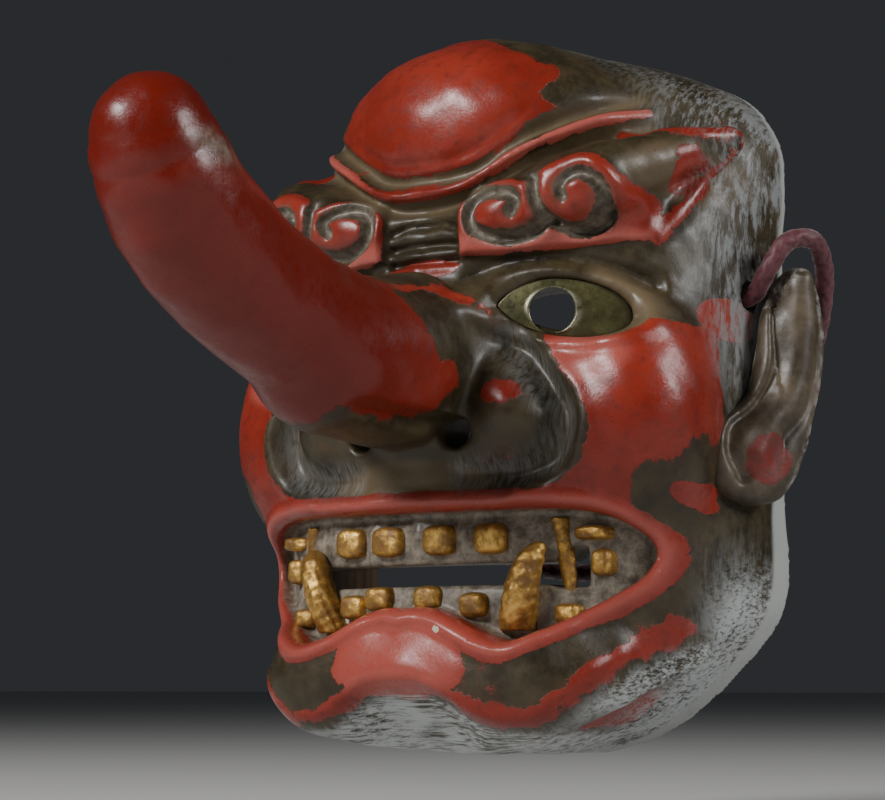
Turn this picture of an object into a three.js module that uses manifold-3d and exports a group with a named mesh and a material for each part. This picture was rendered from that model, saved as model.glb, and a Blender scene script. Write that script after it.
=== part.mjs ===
// Long-nosed goblin (tengu) mask: carved wood under gofun and lacquer, gilt teeth, gilt eye plates, one cord.
// Frame: +X to the mask's own left, the face looks along -Y, +Z up. The flat back rim lies in the plane y = 0
// and the origin is the middle of that plane, where the wearer's or the stand's head rest meets it.
import * as THREE from 'three';
import { mergeVertices } from 'three/addons/utils/BufferGeometryUtils.js';
import Module from 'manifold-3d';

const wasm = await Module();
wasm.setup();

// ---------------------------------------------------------------- driving dimensions (mm)
const MASK_TOP = 119;
const MASK_BOTTOM = -127;
const HALF_WIDTH = 93;
const FACE_DEPTH = 87;
const WALL = 11;
const FACE_WALL = 14;
const FIT_GAP = 0.3;

const TENON_RADIUS = 12;
const TENON_LENGTH = 34;
const NOSE_AXIS_Z = 1.2;
const NOSE_MID_RADIUS = 22.8;
const NOSE_TIP_RADIUS = 18;
const NOSE_PEG_RADIUS = 2.5;
const NOSE_PEG_LENGTH = 30;
const NOSE_PEG_STAND = 9.5;

const EYE_TURN = THREE.MathUtils.degToRad(25);
const EYE_LENGTH = 45;
const EYE_HEIGHT = 19.4;
const EYE_RISE = 0.57;
const EYE_SLANT = -0.11;
const EYE_SINK = 0.6;
const EYE_LEDGE = 2.6;
const EYE_SEAT_DEPTH = 3;
const EYE_PLATE_THICKNESS = 1.4;
const PUPIL_RADIUS = 7.6;
const PUPIL_SHIFT = -4;

const SLIT_Z = -67.5;
const SLIT_HEIGHT = 7;
const CAP_DEPTH = 9;
const CAP_SEAT = 4;

const EAR_THICKNESS = 14;
const EAR_FRONT = 3;
const EAR_TURN = THREE.MathUtils.degToRad(58);
const DOWEL_RADIUS = 1.6;
const DOWEL_LENGTH = 12;

const NOSTRIL_RADIUS = 5;
const CORD_RADIUS = 3.2;
const CORD_HOLE_RADIUS = 5;
const CORD_HOLE_Y = -22.5;
const CORD_HOLE_Z = 28;
const CORD_SAG = 62;
const KNOT_RADIUS = 6.2;
const KNOT_SQUASH = 0.8;
const KNOT_CLEARANCE = 1;

const AROUND = 84;
const OUTER_RINGS = 24;
const INNER_RINGS = 6;

// Places on the face: y of a point so far behind the face's foremost plane, and x so far inside the widest side.
const front = (inset) => inset - FACE_DEPTH;
const side = (inset) => HALF_WIDTH - inset;
const EYE_CENTRE = new THREE.Vector3(51, front(8), 19);
const EAR_ROOT = new THREE.Vector3(side(1), -40, 0);
const NOSE_JOINT_Y = front(-31);
const NOSE_PEG_BACK = NOSE_JOINT_Y + TENON_LENGTH + NOSE_PEG_STAND;

// ---------------------------------------------------------------- materials
const lacquerRed = paint(0x8c2a22, 0.42, 0);
const noseRed = paint(0x8a2018, 0.36, 0);
const earBrown = paint(0x574a3a, 0.5, 0);
const bamboo = paint(0xa8925e, 0.6, 0);
const eyeGilt = paint(0x6e6a45, 0.38, 0.6);
const toothGilt = paint(0x9c7838, 0.35, 0.75);
const cordPurple = paint(0x4a1a22, 0.85, 0);

function paint(color, roughness, metalness) {
  return new THREE.MeshStandardMaterial({ color, roughness, metalness });
}

// ---------------------------------------------------------------- small shape maths
function track(stations, t) {
  const last = stations.length - 1;
  if (t <= stations[0][0]) return stations[0][1];
  if (t >= stations[last][0]) return stations[last][1];
  let i = 0;
  while (t > stations[i + 1][0]) i += 1;
  const [t0, v0] = stations[i];
  const [t1, v1] = stations[i + 1];
  const before = stations[Math.max(i - 1, 0)];
  const after = stations[Math.min(i + 2, last)];
  const span = t1 - t0;
  const m0 = ((v1 - before[1]) / (t1 - before[0])) * span;
  const m1 = ((after[1] - v0) / (after[0] - t0)) * span;
  const u = (t - t0) / span;
  const u2 = u * u;
  const u3 = u2 * u;
  return (2 * u3 - 3 * u2 + 1) * v0 + (u3 - 2 * u2 + u) * m0 + (3 * u2 - 2 * u3) * v1 + (u3 - u2) * m1;
}

function smoothMin(a, b, k) {
  const h = Math.max(k - Math.abs(a - b), 0) / k;
  return Math.min(a, b) - h * h * k * 0.25;
}

function smoothMax(a, b, k) {
  return -smoothMin(-a, -b, k);
}

function ellipsoid(x, y, z, centre, radii) {
  const qx = (x - centre[0]) / radii[0];
  const qy = (y - centre[1]) / radii[1];
  const qz = (z - centre[2]) / radii[2];
  const k0 = Math.hypot(qx, qy, qz) + 1e-6;
  const k1 = Math.hypot(qx / radii[0], qy / radii[1], qz / radii[2]) + 1e-9;
  return (k0 * (k0 - 1)) / k1;
}

// Distance to a chain of round cones given as [x, y, z, radius] stations.
function chain(x, y, z, stations) {
  let best = Infinity;
  for (let i = 0; i + 1 < stations.length; i += 1) {
    const [ax, ay, az, ar] = stations[i];
    const [bx, by, bz, br] = stations[i + 1];
    const dx = bx - ax;
    const dy = by - ay;
    const dz = bz - az;
    const along = ((x - ax) * dx + (y - ay) * dy + (z - az) * dz) / (dx * dx + dy * dy + dz * dz);
    const t = THREE.MathUtils.clamp(along, 0, 1);
    const gap = Math.hypot(x - ax - dx * t, y - ay - dy * t, z - az - dz * t);
    best = Math.min(best, gap - ar - (br - ar) * t);
  }
  return best;
}

// Points [u, v] made into a smooth line through all of them.
function smoothLine(points, count) {
  const curve = new THREE.SplineCurve(points.map(([u, v]) => new THREE.Vector2(u, v)));
  return curve.getPoints(count).map((p) => [p.x, p.y]);
}

// Distance in the front view (x, z) to an open line of [x, z] stations.
function lineGap(x, z, stations) {
  let best = Infinity;
  for (let i = 0; i + 1 < stations.length; i += 1) {
    const [ax, az] = stations[i];
    const [bx, bz] = stations[i + 1];
    const dx = bx - ax;
    const dz = bz - az;
    const t = THREE.MathUtils.clamp(((x - ax) * dx + (z - az) * dz) / (dx * dx + dz * dz), 0, 1);
    best = Math.min(best, Math.hypot(x - ax - dx * t, z - az - dz * t));
  }
  return best;
}

// The same for a closed outline, negative inside it.
function insideOutline(x, z, outline) {
  let inside = false;
  for (let i = 0; i + 1 < outline.length; i += 1) {
    const [ax, az] = outline[i];
    const [bx, bz] = outline[i + 1];
    if ((az > z) !== (bz > z) && x < ax + ((z - az) / (bz - az)) * (bx - ax)) inside = !inside;
  }
  const gap = lineGap(x, z, outline);
  return inside ? -gap : gap;
}

// ---------------------------------------------------------------- the face as one distance field
const HALF_WIDTH_BY_Z = [
  [-127, 0.36], [-119, 0.52], [-105, 0.72], [-91, 0.88], [-79, 0.97], [-65, 1], [-40, 0.985],
  [10, 0.98], [50, 0.99], [70, 1], [84, 0.985], [94, 0.93], [102, 0.85], [110, 0.7], [119, 0.5],
].map(([z, share]) => [z, share * HALF_WIDTH]);
const DEPTH_BY_Z = [
  [-127, 0.95], [-117, 1.12], [-103, 1.15], [-81, 1.12], [-58, 1.07], [-46, 1.1], [-34, 1.12],
  [0, 1.04], [25, 0.97], [42, 0.96], [62, 0.98], [90, 0.97], [100, 0.92], [110, 0.83], [119, 0.7],
].map(([z, share]) => [z, share * FACE_DEPTH]);
const FULLNESS_BY_Z = [
  [-127, 2.3], [-90, 2.5], [-60, 2.55], [-42, 2.7], [-10, 3.05], [25, 2.9], [50, 2.5], [75, 1.75], [119, 1.8],
];
const NOSE_ROOT = [[0, front(13), 26, 16], [0, front(3), 12, 25], [0, front(-25), 2, 27], [0, front(-53), 2, 24]];
const BROW = [
  [0, front(12), 46, 9], [20, front(9), 50, 11], [42, front(9), 56, 12.5], [62, front(14), 63, 12.5],
  [side(18), front(30), 70, 9], [side(5), front(51), 79, 5],
];
const UNDER_BROW = [
  [12, front(-5), 33.5, 3.5], [30, front(-4), 35.5, 4.5], [50, front(1), 35.5, 5], [66, front(12), 34, 4.5],
  [76, front(24), 29, 3.5],
];
const FOLD = smoothLine([[33, 9], [40, 3], [48, -6], [55, -16], [54, -26], [48, -32.5], [38, -35], [22, -35]], 14);
const MOUTH = smoothLine([
  [-14, -47], [0, -47], [30, -47], [52, -47], [64, -48.5], [72, -52.5], [76.5, -60], [74.5, -68], [68, -74],
  [60, -79.5], [50, -86], [42, -89.5], [34, -88.5], [24, -84], [14, -79.5], [4, -78], [-14, -79], [-14, -47],
], 52);
const BROW_BAND = smoothLine([
  [16, 39], [16, 57], [24, 63], [36, 63], [43, 61], [50, 66], [58, 69], [66, 68], [72, 63], [76, 54], [75, 44],
  [66, 41.5], [54, 40], [36, 38.5], [16, 39],
], 28);

function bodyField(x, y, z, inset) {
  const w = track(HALF_WIDTH_BY_Z, z) - inset.side;
  const d = track(DEPTH_BY_Z, z) - inset.front;
  const n = track(FULLNESS_BY_Z, z) - inset.softer;
  const s = ((x / w) ** n + (Math.abs(y) / d) ** n) ** (1 / n);
  const lid = smoothMax(z - MASK_TOP + inset.side, MASK_BOTTOM + inset.side - z, 4);
  return smoothMax((s - 1) * Math.min(w, d), lid, 16);
}

function gumField(x, y) {
  const s = ((x / side(5)) ** 2.6 + (Math.abs(y) / (FACE_DEPTH + 1)) ** 2.6) ** (1 / 2.6);
  return (s - 1) * side(5);
}

// Height of the chin's lower front edge: raised in the middle, lowest under the fangs.
function chinEdge(x) {
  return -104.5 - 12.5 * THREE.MathUtils.smoothstep(x, 6, 38) + 30 * THREE.MathUtils.smoothstep(x, 46, 86);
}

function eyeLocal(x, y, z) {
  const dx = x - EYE_CENTRE.x;
  const dy = y - EYE_CENTRE.y;
  return [
    dx * Math.cos(EYE_TURN) + dy * Math.sin(EYE_TURN),
    dx * Math.sin(EYE_TURN) - dy * Math.cos(EYE_TURN),
    z - EYE_CENTRE.z,
  ];
}

function faceField(signedX, y, z) {
  const x = Math.abs(signedX);
  const [a, b, c] = eyeLocal(x, y, z);
  let f = bodyField(x, y, z, { side: 0, front: 0, softer: 0 });
  f = smoothMin(f, ellipsoid(x, y, z, [0, front(35), 88], [52, 38, 33]), 12);
  f = smoothMin(f, chain(x, y, z, BROW), 8);
  f = smoothMin(f, ellipsoid(x, y, z, [side(25), front(24), -14], [24, 24, 36]), 14);
  f = smoothMin(f, ellipsoid(x, y, z, [0, front(7), -101], [64, 23, 24]), 8);
  f = smoothMax(f, 0.8 * (chinEdge(x) - z + 0.75 * (front(-10) - y)), 3);
  f = smoothMax(f, -ellipsoid(a, b, c, [2, 13, 4], [33, 17, 17]), 7);
  f = smoothMin(f, ellipsoid(a, b, c, [0, -12.5, 0], [28, 15, 15]), 4);
  f = smoothMin(f, chain(x, y, z, NOSE_ROOT), 15);
  f = smoothMin(f, ellipsoid(x, y, z, [37, front(8), -14], [16.5, 20, 17]), 7);
  f = smoothMax(f, -chain(x, y, z, UNDER_BROW), 3);
  const atFront = THREE.MathUtils.smoothstep(-y, 38, 56);
  f += atFront * 5 * Math.exp(-((lineGap(x, z, FOLD) / 5) ** 2));
  f -= atFront * 2.4 * THREE.MathUtils.smoothstep(-insideOutline(x, z, BROW_BAND), -1.4, 1.8);
  const rim = insideOutline(x, z, MOUTH);
  f -= atFront * 2.6 * Math.exp(-(((rim - 3.2) / 2.8) ** 2));
  return smoothMax(f, -smoothMax(rim, -gumField(x, y), 2), 2.5);
}

function hollowField(x, y, z) {
  return bodyField(Math.abs(x), y, z, { side: WALL, front: FACE_WALL + 1, softer: 0.4 });
}

// x of the hollow's side wall at a given depth and height.
function wallInside(y, z) {
  let low = 0;
  let high = HALF_WIDTH;
  for (let i = 0; i < 20; i += 1) {
    const middle = (low + high) / 2;
    if (hollowField(middle, y, z) > 0) high = middle;
    else low = middle;
  }
  return low;
}

// Radius at which a ray from the origin leaves the field, looking inward from far outside.
function reach(field, direction) {
  const at = (r) => field(direction.x * r, direction.y * r, direction.z * r);
  let outside = 165;
  while (outside > 20 && at(outside - 1.5) > 0) outside -= 1.5;
  let inside = outside - 1.5;
  for (let i = 0; i < 12; i += 1) {
    const middle = (inside + outside) / 2;
    if (at(middle) > 0) outside = middle;
    else inside = middle;
  }
  return (inside + outside) / 2;
}

// ---------------------------------------------------------------- solids
function closed(geometry) {
  const bare = geometry.index ? geometry.clone() : geometry;
  bare.deleteAttribute('normal');
  bare.deleteAttribute('uv');
  return dropSlivers(mergeVertices(bare, 1e-4));
}

function toSolid(geometry) {
  const merged = closed(geometry);
  const vertProperties = new Float32Array(merged.attributes.position.array);
  const triVerts = new Uint32Array(merged.index.array);
  return new wasm.Manifold(new wasm.Mesh({ numProp: 3, vertProperties, triVerts }));
}

function toGeometry(solid) {
  const mesh = solid.getMesh();
  const geometry = new THREE.BufferGeometry();
  geometry.setAttribute('position', new THREE.BufferAttribute(new Float32Array(mesh.vertProperties), 3));
  geometry.setIndex(new THREE.BufferAttribute(new Uint32Array(mesh.triVerts), 1));
  geometry.computeVertexNormals();
  return geometry;
}

function mirrored(geometry) {
  const flipped = closed(geometry.clone());
  flipped.scale(-1, 1, 1);
  const index = flipped.index.array;
  for (let i = 0; i < index.length; i += 3) {
    [index[i], index[i + 1]] = [index[i + 1], index[i]];
  }
  return flipped;
}

// A sphere dented into itself: the front half becomes the carved face and the back half the hollow.
function shellGeometry() {
  const rings = OUTER_RINGS + INNER_RINGS + 1;
  const geometry = new THREE.SphereGeometry(1, AROUND, rings);
  const position = geometry.attributes.position;
  const direction = new THREE.Vector3();
  for (let i = 0; i < position.count; i += 1) {
    const ring = Math.floor(i / (AROUND + 1));
    const inner = ring <= INNER_RINGS;
    const share = inner ? ring / INNER_RINGS : (rings - ring) / OUTER_RINGS;
    const tilt = share * Math.PI * 0.5;
    const turn = ((i % (AROUND + 1)) % AROUND) * ((2 * Math.PI) / AROUND);
    direction.set(-Math.cos(turn) * Math.sin(tilt), -Math.cos(tilt), Math.sin(turn) * Math.sin(tilt));
    if (share === 1) direction.y = 0;
    const radius = reach(inner ? hollowField : faceField, direction);
    position.setXYZ(i, direction.x * radius, direction.y * radius, direction.z * radius);
  }
  return geometry;
}

// Closed loft through rings of equal length; a ring of one repeated point closes an end.
function loft(rings) {
  const around = rings[0].length;
  const geometry = new THREE.CylinderGeometry(1, 1, 1, around, rings.length - 1, true);
  const position = geometry.attributes.position;
  for (let i = 0; i < position.count; i += 1) {
    const ring = rings[rings.length - 1 - Math.floor(i / (around + 1))];
    const point = ring[(around - (i % (around + 1))) % around];
    position.setXYZ(i, point.x, point.y, point.z);
  }
  return closed(geometry);
}

function dropSlivers(geometry) {
  const kept = [];
  const index = geometry.index.array;
  for (let i = 0; i < index.length; i += 3) {
    const [p, q, r] = [index[i], index[i + 1], index[i + 2]];
    if (p !== q && q !== r && r !== p) kept.push(p, q, r);
  }
  geometry.setIndex(kept);
  return geometry;
}

// ---------------------------------------------------------------- nose
const noseLine = new THREE.CatmullRomCurve3([
  new THREE.Vector3(0, NOSE_JOINT_Y, NOSE_AXIS_Z),
  new THREE.Vector3(0, NOSE_JOINT_Y - 20.5, 4.5),
  new THREE.Vector3(0, NOSE_JOINT_Y - 54, 14),
  new THREE.Vector3(0, NOSE_JOINT_Y - 81, 27.5),
  new THREE.Vector3(0, NOSE_JOINT_Y - 98, 43),
  new THREE.Vector3(0, NOSE_JOINT_Y - 105, 55),
]);
const NOSE_RADIUS_BY_SHARE = [
  [0, 26], [0.17, 23.8], [0.45, NOSE_MID_RADIUS], [0.7, 22.4], [0.88, 21], [1, NOSE_TIP_RADIUS],
];
const NOSE_CLEARANCE_RADIUS = 45;

function noseGeometry(grow) {
  const around = 24;
  const steps = 12;
  const capSteps = 6;
  const inward = new THREE.Vector3(0, -1, 0);
  const tenonEnd = new THREE.Vector3(0, NOSE_JOINT_Y + TENON_LENGTH + grow, NOSE_AXIS_Z);
  const shoulder = new THREE.Vector3(0, NOSE_JOINT_Y + grow, NOSE_AXIS_Z);
  const rings = [
    ringAt(tenonEnd, inward, 0, around),
    ringAt(tenonEnd, inward, TENON_RADIUS + grow, around),
    ringAt(shoulder, inward, TENON_RADIUS + grow, around),
  ];
  for (let i = 0; i <= steps; i += 1) {
    const share = i / steps;
    const centre = noseLine.getPointAt(share);
    const tangent = share === 0 ? inward : noseLine.getTangentAt(share);
    if (i === 0) centre.y += grow;
    const radius = grow > 0 ? NOSE_CLEARANCE_RADIUS : track(NOSE_RADIUS_BY_SHARE, share);
    rings.push(ringAt(centre, tangent, radius, around));
  }
  const tip = noseLine.getPointAt(1);
  const way = noseLine.getTangentAt(1);
  for (let i = 1; i <= capSteps; i += 1) {
    const angle = (i / capSteps) * Math.PI * 0.5;
    const centre = tip.clone().addScaledVector(way, NOSE_TIP_RADIUS * Math.sin(angle));
    rings.push(ringAt(centre, way, i === capSteps ? 0 : NOSE_TIP_RADIUS * Math.cos(angle), around));
  }
  return loft(rings);
}

function ringAt(centre, tangent, radius, around) {
  const sideways = new THREE.Vector3(1, 0, 0);
  const upward = new THREE.Vector3().crossVectors(sideways, tangent).normalize();
  const ring = [];
  for (let i = 0; i < around; i += 1) {
    const angle = (i / around) * Math.PI * 2;
    ring.push(centre.clone()
      .addScaledVector(sideways, radius * Math.cos(angle))
      .addScaledVector(upward, radius * Math.sin(angle)));
  }
  return ring;
}

// ---------------------------------------------------------------- eyes
// The eye opening: pointed at the nose and round at the temple.
function almond(grow) {
  const half = EYE_LENGTH / 2 + grow;
  const upper = EYE_HEIGHT * EYE_RISE + grow;
  const lower = EYE_HEIGHT * (1 - EYE_RISE) + grow;
  const points = [];
  const around = 40;
  for (let i = 0; i < around; i += 1) {
    const angle = (i / around) * Math.PI * 2;
    const along = half * Math.cos(angle);
    const power = Math.cos(angle) < 0 ? 1.6 : 0.9;
    const lift = Math.abs(Math.sin(angle)) ** power;
    const height = Math.sin(angle) > 0 ? upper * lift : -lower * lift;
    points.push(new THREE.Vector2(along, height + EYE_SLANT * along - EYE_SINK));
  }
  return new THREE.Shape(points);
}

function eyePlaced(geometry, depth) {
  const spin = new THREE.Matrix4().makeBasis(
    new THREE.Vector3(Math.cos(EYE_TURN), Math.sin(EYE_TURN), 0),
    new THREE.Vector3(0, 0, 1),
    new THREE.Vector3(Math.sin(EYE_TURN), -Math.cos(EYE_TURN), 0),
  );
  geometry.translate(0, 0, depth);
  geometry.applyMatrix4(spin);
  geometry.translate(EYE_CENTRE.x, EYE_CENTRE.y, EYE_CENTRE.z);
  return geometry;
}

const EYE_PLATE_BACK = -EYE_PLATE_THICKNESS - EYE_SEAT_DEPTH + 1.4;

function eyePlateGeometry() {
  const plate = new THREE.ExtrudeGeometry(almond(0), { depth: EYE_PLATE_THICKNESS, bevelEnabled: false });
  const pupil = new THREE.CylinderGeometry(PUPIL_RADIUS, PUPIL_RADIUS, 12, 24);
  pupil.rotateX(Math.PI / 2);
  pupil.translate(PUPIL_SHIFT, 0, 0);
  const solid = toSolid(eyePlaced(plate, EYE_PLATE_BACK)).subtract(toSolid(eyePlaced(pupil, 0)));
  return toGeometry(solid);
}

function eyeRecess() {
  const seat = new THREE.ExtrudeGeometry(almond(FIT_GAP), { depth: 24, bevelEnabled: false });
  return toSolid(eyePlaced(seat, EYE_PLATE_BACK - FIT_GAP));
}

function eyeWindow() {
  const window = new THREE.ExtrudeGeometry(almond(-EYE_LEDGE), { depth: 50, bevelEnabled: false });
  return toSolid(eyePlaced(window, -48));
}

// ---------------------------------------------------------------- teeth
// Each cap: name, x on the left, x on the right, z, width, height. The carver set them by eye.
const CAPS = [
  ['upper_incisor_inner', 9, 11.5, -56, 12.5, 10.5],
  ['upper_incisor_outer', 28, 27.5, -56, 11.5, 10.5],
  ['upper_premolar', 59.5, 59.5, -54.5, 10.5, 5],
  ['corner_tooth', 62, 62, -64, 5, 9],
  ['lower_incisor_inner', 4.5, 15, -75, 10.5, 8.5],
  ['lower_incisor_outer', 22.3, 26.3, -77.5, 9.5, 8.5],
  ['lower_premolar', 53, 53, -80.6, 7.6, 7],
];
const TUSKS = [
  { name: 'lower_fang', foot: [36.5, -86], tip: [45.5, -57], radius: 6.8, lean: 6.5 },
  { name: 'upper_fang', foot: [49.5, -49.5], tip: [53, -75.6], radius: 3.6, lean: -1 },
];
const TUSK_BLUNTNESS = 0.72;

function gumPoint(x) {
  let y = front(-13);
  while (gumField(x, y) > 0 && y < -20) y += 0.25;
  return { y, turn: Math.atan2(x * 0.62, Math.abs(y)) };
}

function capGeometry(x, [, , , z, width, height], grow) {
  const r = Math.min(width, height) * 0.28;
  const w = width / 2 + grow;
  const h = height / 2 + grow;
  const shape = new THREE.Shape();
  shape.moveTo(-w + r, -h);
  shape.lineTo(w - r, -h);
  shape.quadraticCurveTo(w, -h, w, -h + r);
  shape.lineTo(w, h - r);
  shape.quadraticCurveTo(w, h, w - r, h);
  shape.lineTo(-w + r, h);
  shape.quadraticCurveTo(-w, h, -w, h - r);
  shape.lineTo(-w, -h + r);
  shape.quadraticCurveTo(-w, -h, -w + r, -h);
  const bevel = 1.5;
  const cap = grow > 0
    ? new THREE.ExtrudeGeometry(shape, { depth: CAP_DEPTH + 2 * grow, bevelEnabled: false, curveSegments: 2 })
    : new THREE.ExtrudeGeometry(shape, {
      depth: CAP_DEPTH - 2 * bevel, bevelEnabled: true, bevelThickness: bevel, bevelSize: bevel,
      bevelOffset: -bevel, bevelSegments: 2, curveSegments: 2,
    });
  cap.translate(0, 0, grow > 0 ? -grow : bevel);
  const { y, turn } = gumPoint(x);
  cap.translate(0, 0, -CAP_SEAT);
  cap.rotateX(Math.PI / 2);
  cap.rotateZ(turn);
  cap.translate(x, y, z);
  return cap;
}

function tuskGeometry({ foot, tip, radius, lean }, grow) {
  const rings = [];
  const steps = 7;
  const around = 12;
  const rise = Math.sign(tip[1] - foot[1]);
  for (let i = 0; i <= steps; i += 1) {
    const share = i / steps;
    const x = THREE.MathUtils.lerp(foot[0], tip[0], share);
    const z = THREE.MathUtils.lerp(foot[1], tip[1], share);
    const { y } = gumPoint(x);
    const out = lean * Math.sin(share * Math.PI * 0.75);
    const centre = new THREE.Vector3(x, y - out, z);
    const girth = radius * Math.sqrt(1 - TUSK_BLUNTNESS * share * share) + grow;
    const flare = i === steps ? 0 : girth;
    if (i === 0) rings.push(ringAround(centre.clone().setZ(z - rise * grow), 0, around, rise));
    if (i === 0) centre.z -= rise * grow;
    if (i === steps) {
      const shoulder = centre.clone().setZ(z - rise * (1.2 - grow));
      rings.push(ringAround(shoulder, girth * 0.8, around, rise));
    }
    if (i === steps) centre.z += rise * grow;
    rings.push(ringAround(centre, flare, around, rise));
  }
  return loft(rings);
}

function ringAround(centre, radius, around, rise) {
  const ring = [];
  for (let i = 0; i < around; i += 1) {
    const angle = (i / around) * Math.PI * -2 * rise;
    ring.push(new THREE.Vector3(
      centre.x + radius * Math.cos(angle),
      centre.y + radius * Math.sin(angle),
      centre.z,
    ));
  }
  return ring;
}

// ---------------------------------------------------------------- ears
// The outline in the plane of the ear: distance outward from its root, and height.
const EAR_OUTLINE = smoothLine([
  [-8, -28], [-7, -36], [-2, -41], [5, -43.5], [13, -44], [22.5, -40], [30, -24], [34.5, -9.5], [37.2, 4],
  [36.8, 25], [33.5, 36], [27.5, 38.5], [21.5, 33.5], [16.5, 25], [14, 17.5], [12.5, 6], [9.8, -5], [5, -10.5],
  [-0.5, -14.5], [-6.5, -20.5], [-8, -28],
], 32);
const EAR_MIDDLE = new THREE.Vector2(19, -6);
// Each ear hangs on two dowels at these [y, z].
const EAR_DOWELS = [[-24, -14], [-32, -33]];

function earPlaced(geometry) {
  const spin = new THREE.Matrix4().makeBasis(
    new THREE.Vector3(Math.cos(EAR_TURN), Math.sin(EAR_TURN), 0),
    new THREE.Vector3(0, 0, 1),
    new THREE.Vector3(Math.sin(EAR_TURN), -Math.cos(EAR_TURN), 0),
  );
  geometry.applyMatrix4(spin);
  geometry.translate(EAR_ROOT.x, EAR_ROOT.y, EAR_ROOT.z);
  return geometry;
}

function earGeometry(grow) {
  const points = EAR_OUTLINE.slice(0, -1).map(([s, z]) => new THREE.Vector2(s, z));
  points.forEach((point) => point.addScaledVector(point.clone().sub(EAR_MIDDLE).normalize(), grow * 1.6));
  const bevel = 2.5;
  const plate = new THREE.ExtrudeGeometry(new THREE.Shape(points), {
    depth: EAR_THICKNESS - 2 * bevel + 2 * grow, bevelEnabled: true, bevelThickness: bevel, bevelSize: bevel,
    bevelOffset: -bevel, bevelSegments: 2,
  });
  plate.translate(0, 0, EAR_FRONT - EAR_THICKNESS + bevel - grow);
  return earPlaced(plate);
}

function earDowel([y, z], grow) {
  const dowel = new THREE.CylinderGeometry(DOWEL_RADIUS + grow, DOWEL_RADIUS + grow, DOWEL_LENGTH + 2 * grow, 12);
  dowel.rotateZ(Math.PI / 2);
  dowel.translate(side(2), y, z);
  return dowel;
}

// ---------------------------------------------------------------- cord
function cordPath() {
  const half = [
    new THREE.Vector3(77.6, CORD_HOLE_Y, CORD_HOLE_Z),
    new THREE.Vector3(91, CORD_HOLE_Y, CORD_HOLE_Z),
    new THREE.Vector3(98.5, -25.5, 35.5),
    new THREE.Vector3(104.5, -22, 45.5),
    new THREE.Vector3(109.5, -13, 47),
    new THREE.Vector3(109, -3.5, 40),
    new THREE.Vector3(105, 4, 28),
    new THREE.Vector3(98, 10, 13),
    new THREE.Vector3(85, 14, -CORD_SAG + 54),
    new THREE.Vector3(64, 17, -CORD_SAG + 26),
    new THREE.Vector3(33, 19, -CORD_SAG + 6),
  ];
  const other = half.map((p) => new THREE.Vector3(-p.x, p.y, p.z)).reverse();
  return new THREE.CatmullRomCurve3([...half, new THREE.Vector3(0, 19, -CORD_SAG), ...other]);
}

function cordGeometry() {
  const round = new THREE.Shape();
  round.absarc(0, 0, CORD_RADIUS, 0, Math.PI * 2, false);
  return new THREE.ExtrudeGeometry(round, {
    steps: 76, bevelEnabled: false, extrudePath: cordPath(), curveSegments: 4,
  });
}

// The knot sits against the hollow's side wall, which curves inward toward the face.
function knotGeometry() {
  const steps = 8;
  let seat = Infinity;
  for (let i = 0; i < steps; i += 1) {
    const forward = (i / steps) * KNOT_RADIUS;
    const half = KNOT_SQUASH * Math.sqrt(KNOT_RADIUS ** 2 - forward ** 2);
    seat = Math.min(seat, wallInside(CORD_HOLE_Y - forward, CORD_HOLE_Z) - half);
  }
  const knot = new THREE.SphereGeometry(KNOT_RADIUS, 14, 10);
  knot.scale(KNOT_SQUASH, 1, 1);
  knot.translate(seat - KNOT_CLEARANCE, CORD_HOLE_Y, CORD_HOLE_Z);
  return knot;
}

// ---------------------------------------------------------------- cutters of the shell
// The breathing slit: straight between the teeth, opening upward at both ends.
function slitCutter() {
  const low = SLIT_Z - SLIT_HEIGHT / 2;
  const high = SLIT_Z + SLIT_HEIGHT / 2;
  const right = [
    [46, high], [50, high + 3.5], [54.5, high + 6.2], [58.3, high + 4], [58, low + 2], [54, low - 1.2],
  ];
  const left = right.map(([x, z]) => [-x, z]).reverse();
  const outline = [...right, [46, low], [-46, low], ...left].map(([x, z]) => new THREE.Vector2(x, z));
  const cut = new THREE.ExtrudeGeometry(new THREE.Shape(outline), { depth: 100, bevelEnabled: false });
  cut.rotateX(Math.PI / 2);
  cut.translate(0, -10, 0);
  return toSolid(cut);
}

function bore(radius, length, x, y, z, axis) {
  const hole = new THREE.CylinderGeometry(radius, radius, length, 16);
  if (axis === 'x') hole.rotateZ(Math.PI / 2);
  hole.translate(x, y, z);
  return hole;
}

// ---------------------------------------------------------------- assembly
const group = new THREE.Group();

function add(name, geometry, material) {
  const shape = closed(geometry);
  shape.computeVertexNormals();
  const mesh = new THREE.Mesh(shape, material);
  mesh.name = name;
  group.add(mesh);
}

function addPair(name, geometry, material) {
  add(`${name}_left`, geometry, material);
  add(`${name}_right`, mirrored(geometry), material);
}

const pegWay = bore(NOSE_PEG_RADIUS + FIT_GAP, 40, 0, NOSE_PEG_BACK - 5, NOSE_AXIS_Z, 'y');
const cutters = [toSolid(noseGeometry(FIT_GAP)), slitCutter(), toSolid(pegWay)];
function cutBoth(geometry) {
  cutters.push(toSolid(geometry), toSolid(mirrored(geometry)));
}

cutBoth(bore(NOSTRIL_RADIUS, 60, 19, front(3), -21, 'y'));
cutBoth(bore(CORD_HOLE_RADIUS, 40, side(3), CORD_HOLE_Y, CORD_HOLE_Z, 'x'));
cutBoth(earGeometry(FIT_GAP));
EAR_DOWELS.forEach((place) => cutBoth(earDowel(place, FIT_GAP)));
TUSKS.forEach((tusk) => cutBoth(tuskGeometry(tusk, FIT_GAP)));
CAPS.forEach((cap) => {
  cutters.push(toSolid(capGeometry(cap[1], cap, FIT_GAP)), toSolid(mirrored(capGeometry(cap[2], cap, FIT_GAP))));
});
[eyeRecess(), eyeWindow()].forEach((solid) => {
  cutters.push(solid, toSolid(mirrored(toGeometry(solid))));
});

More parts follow.
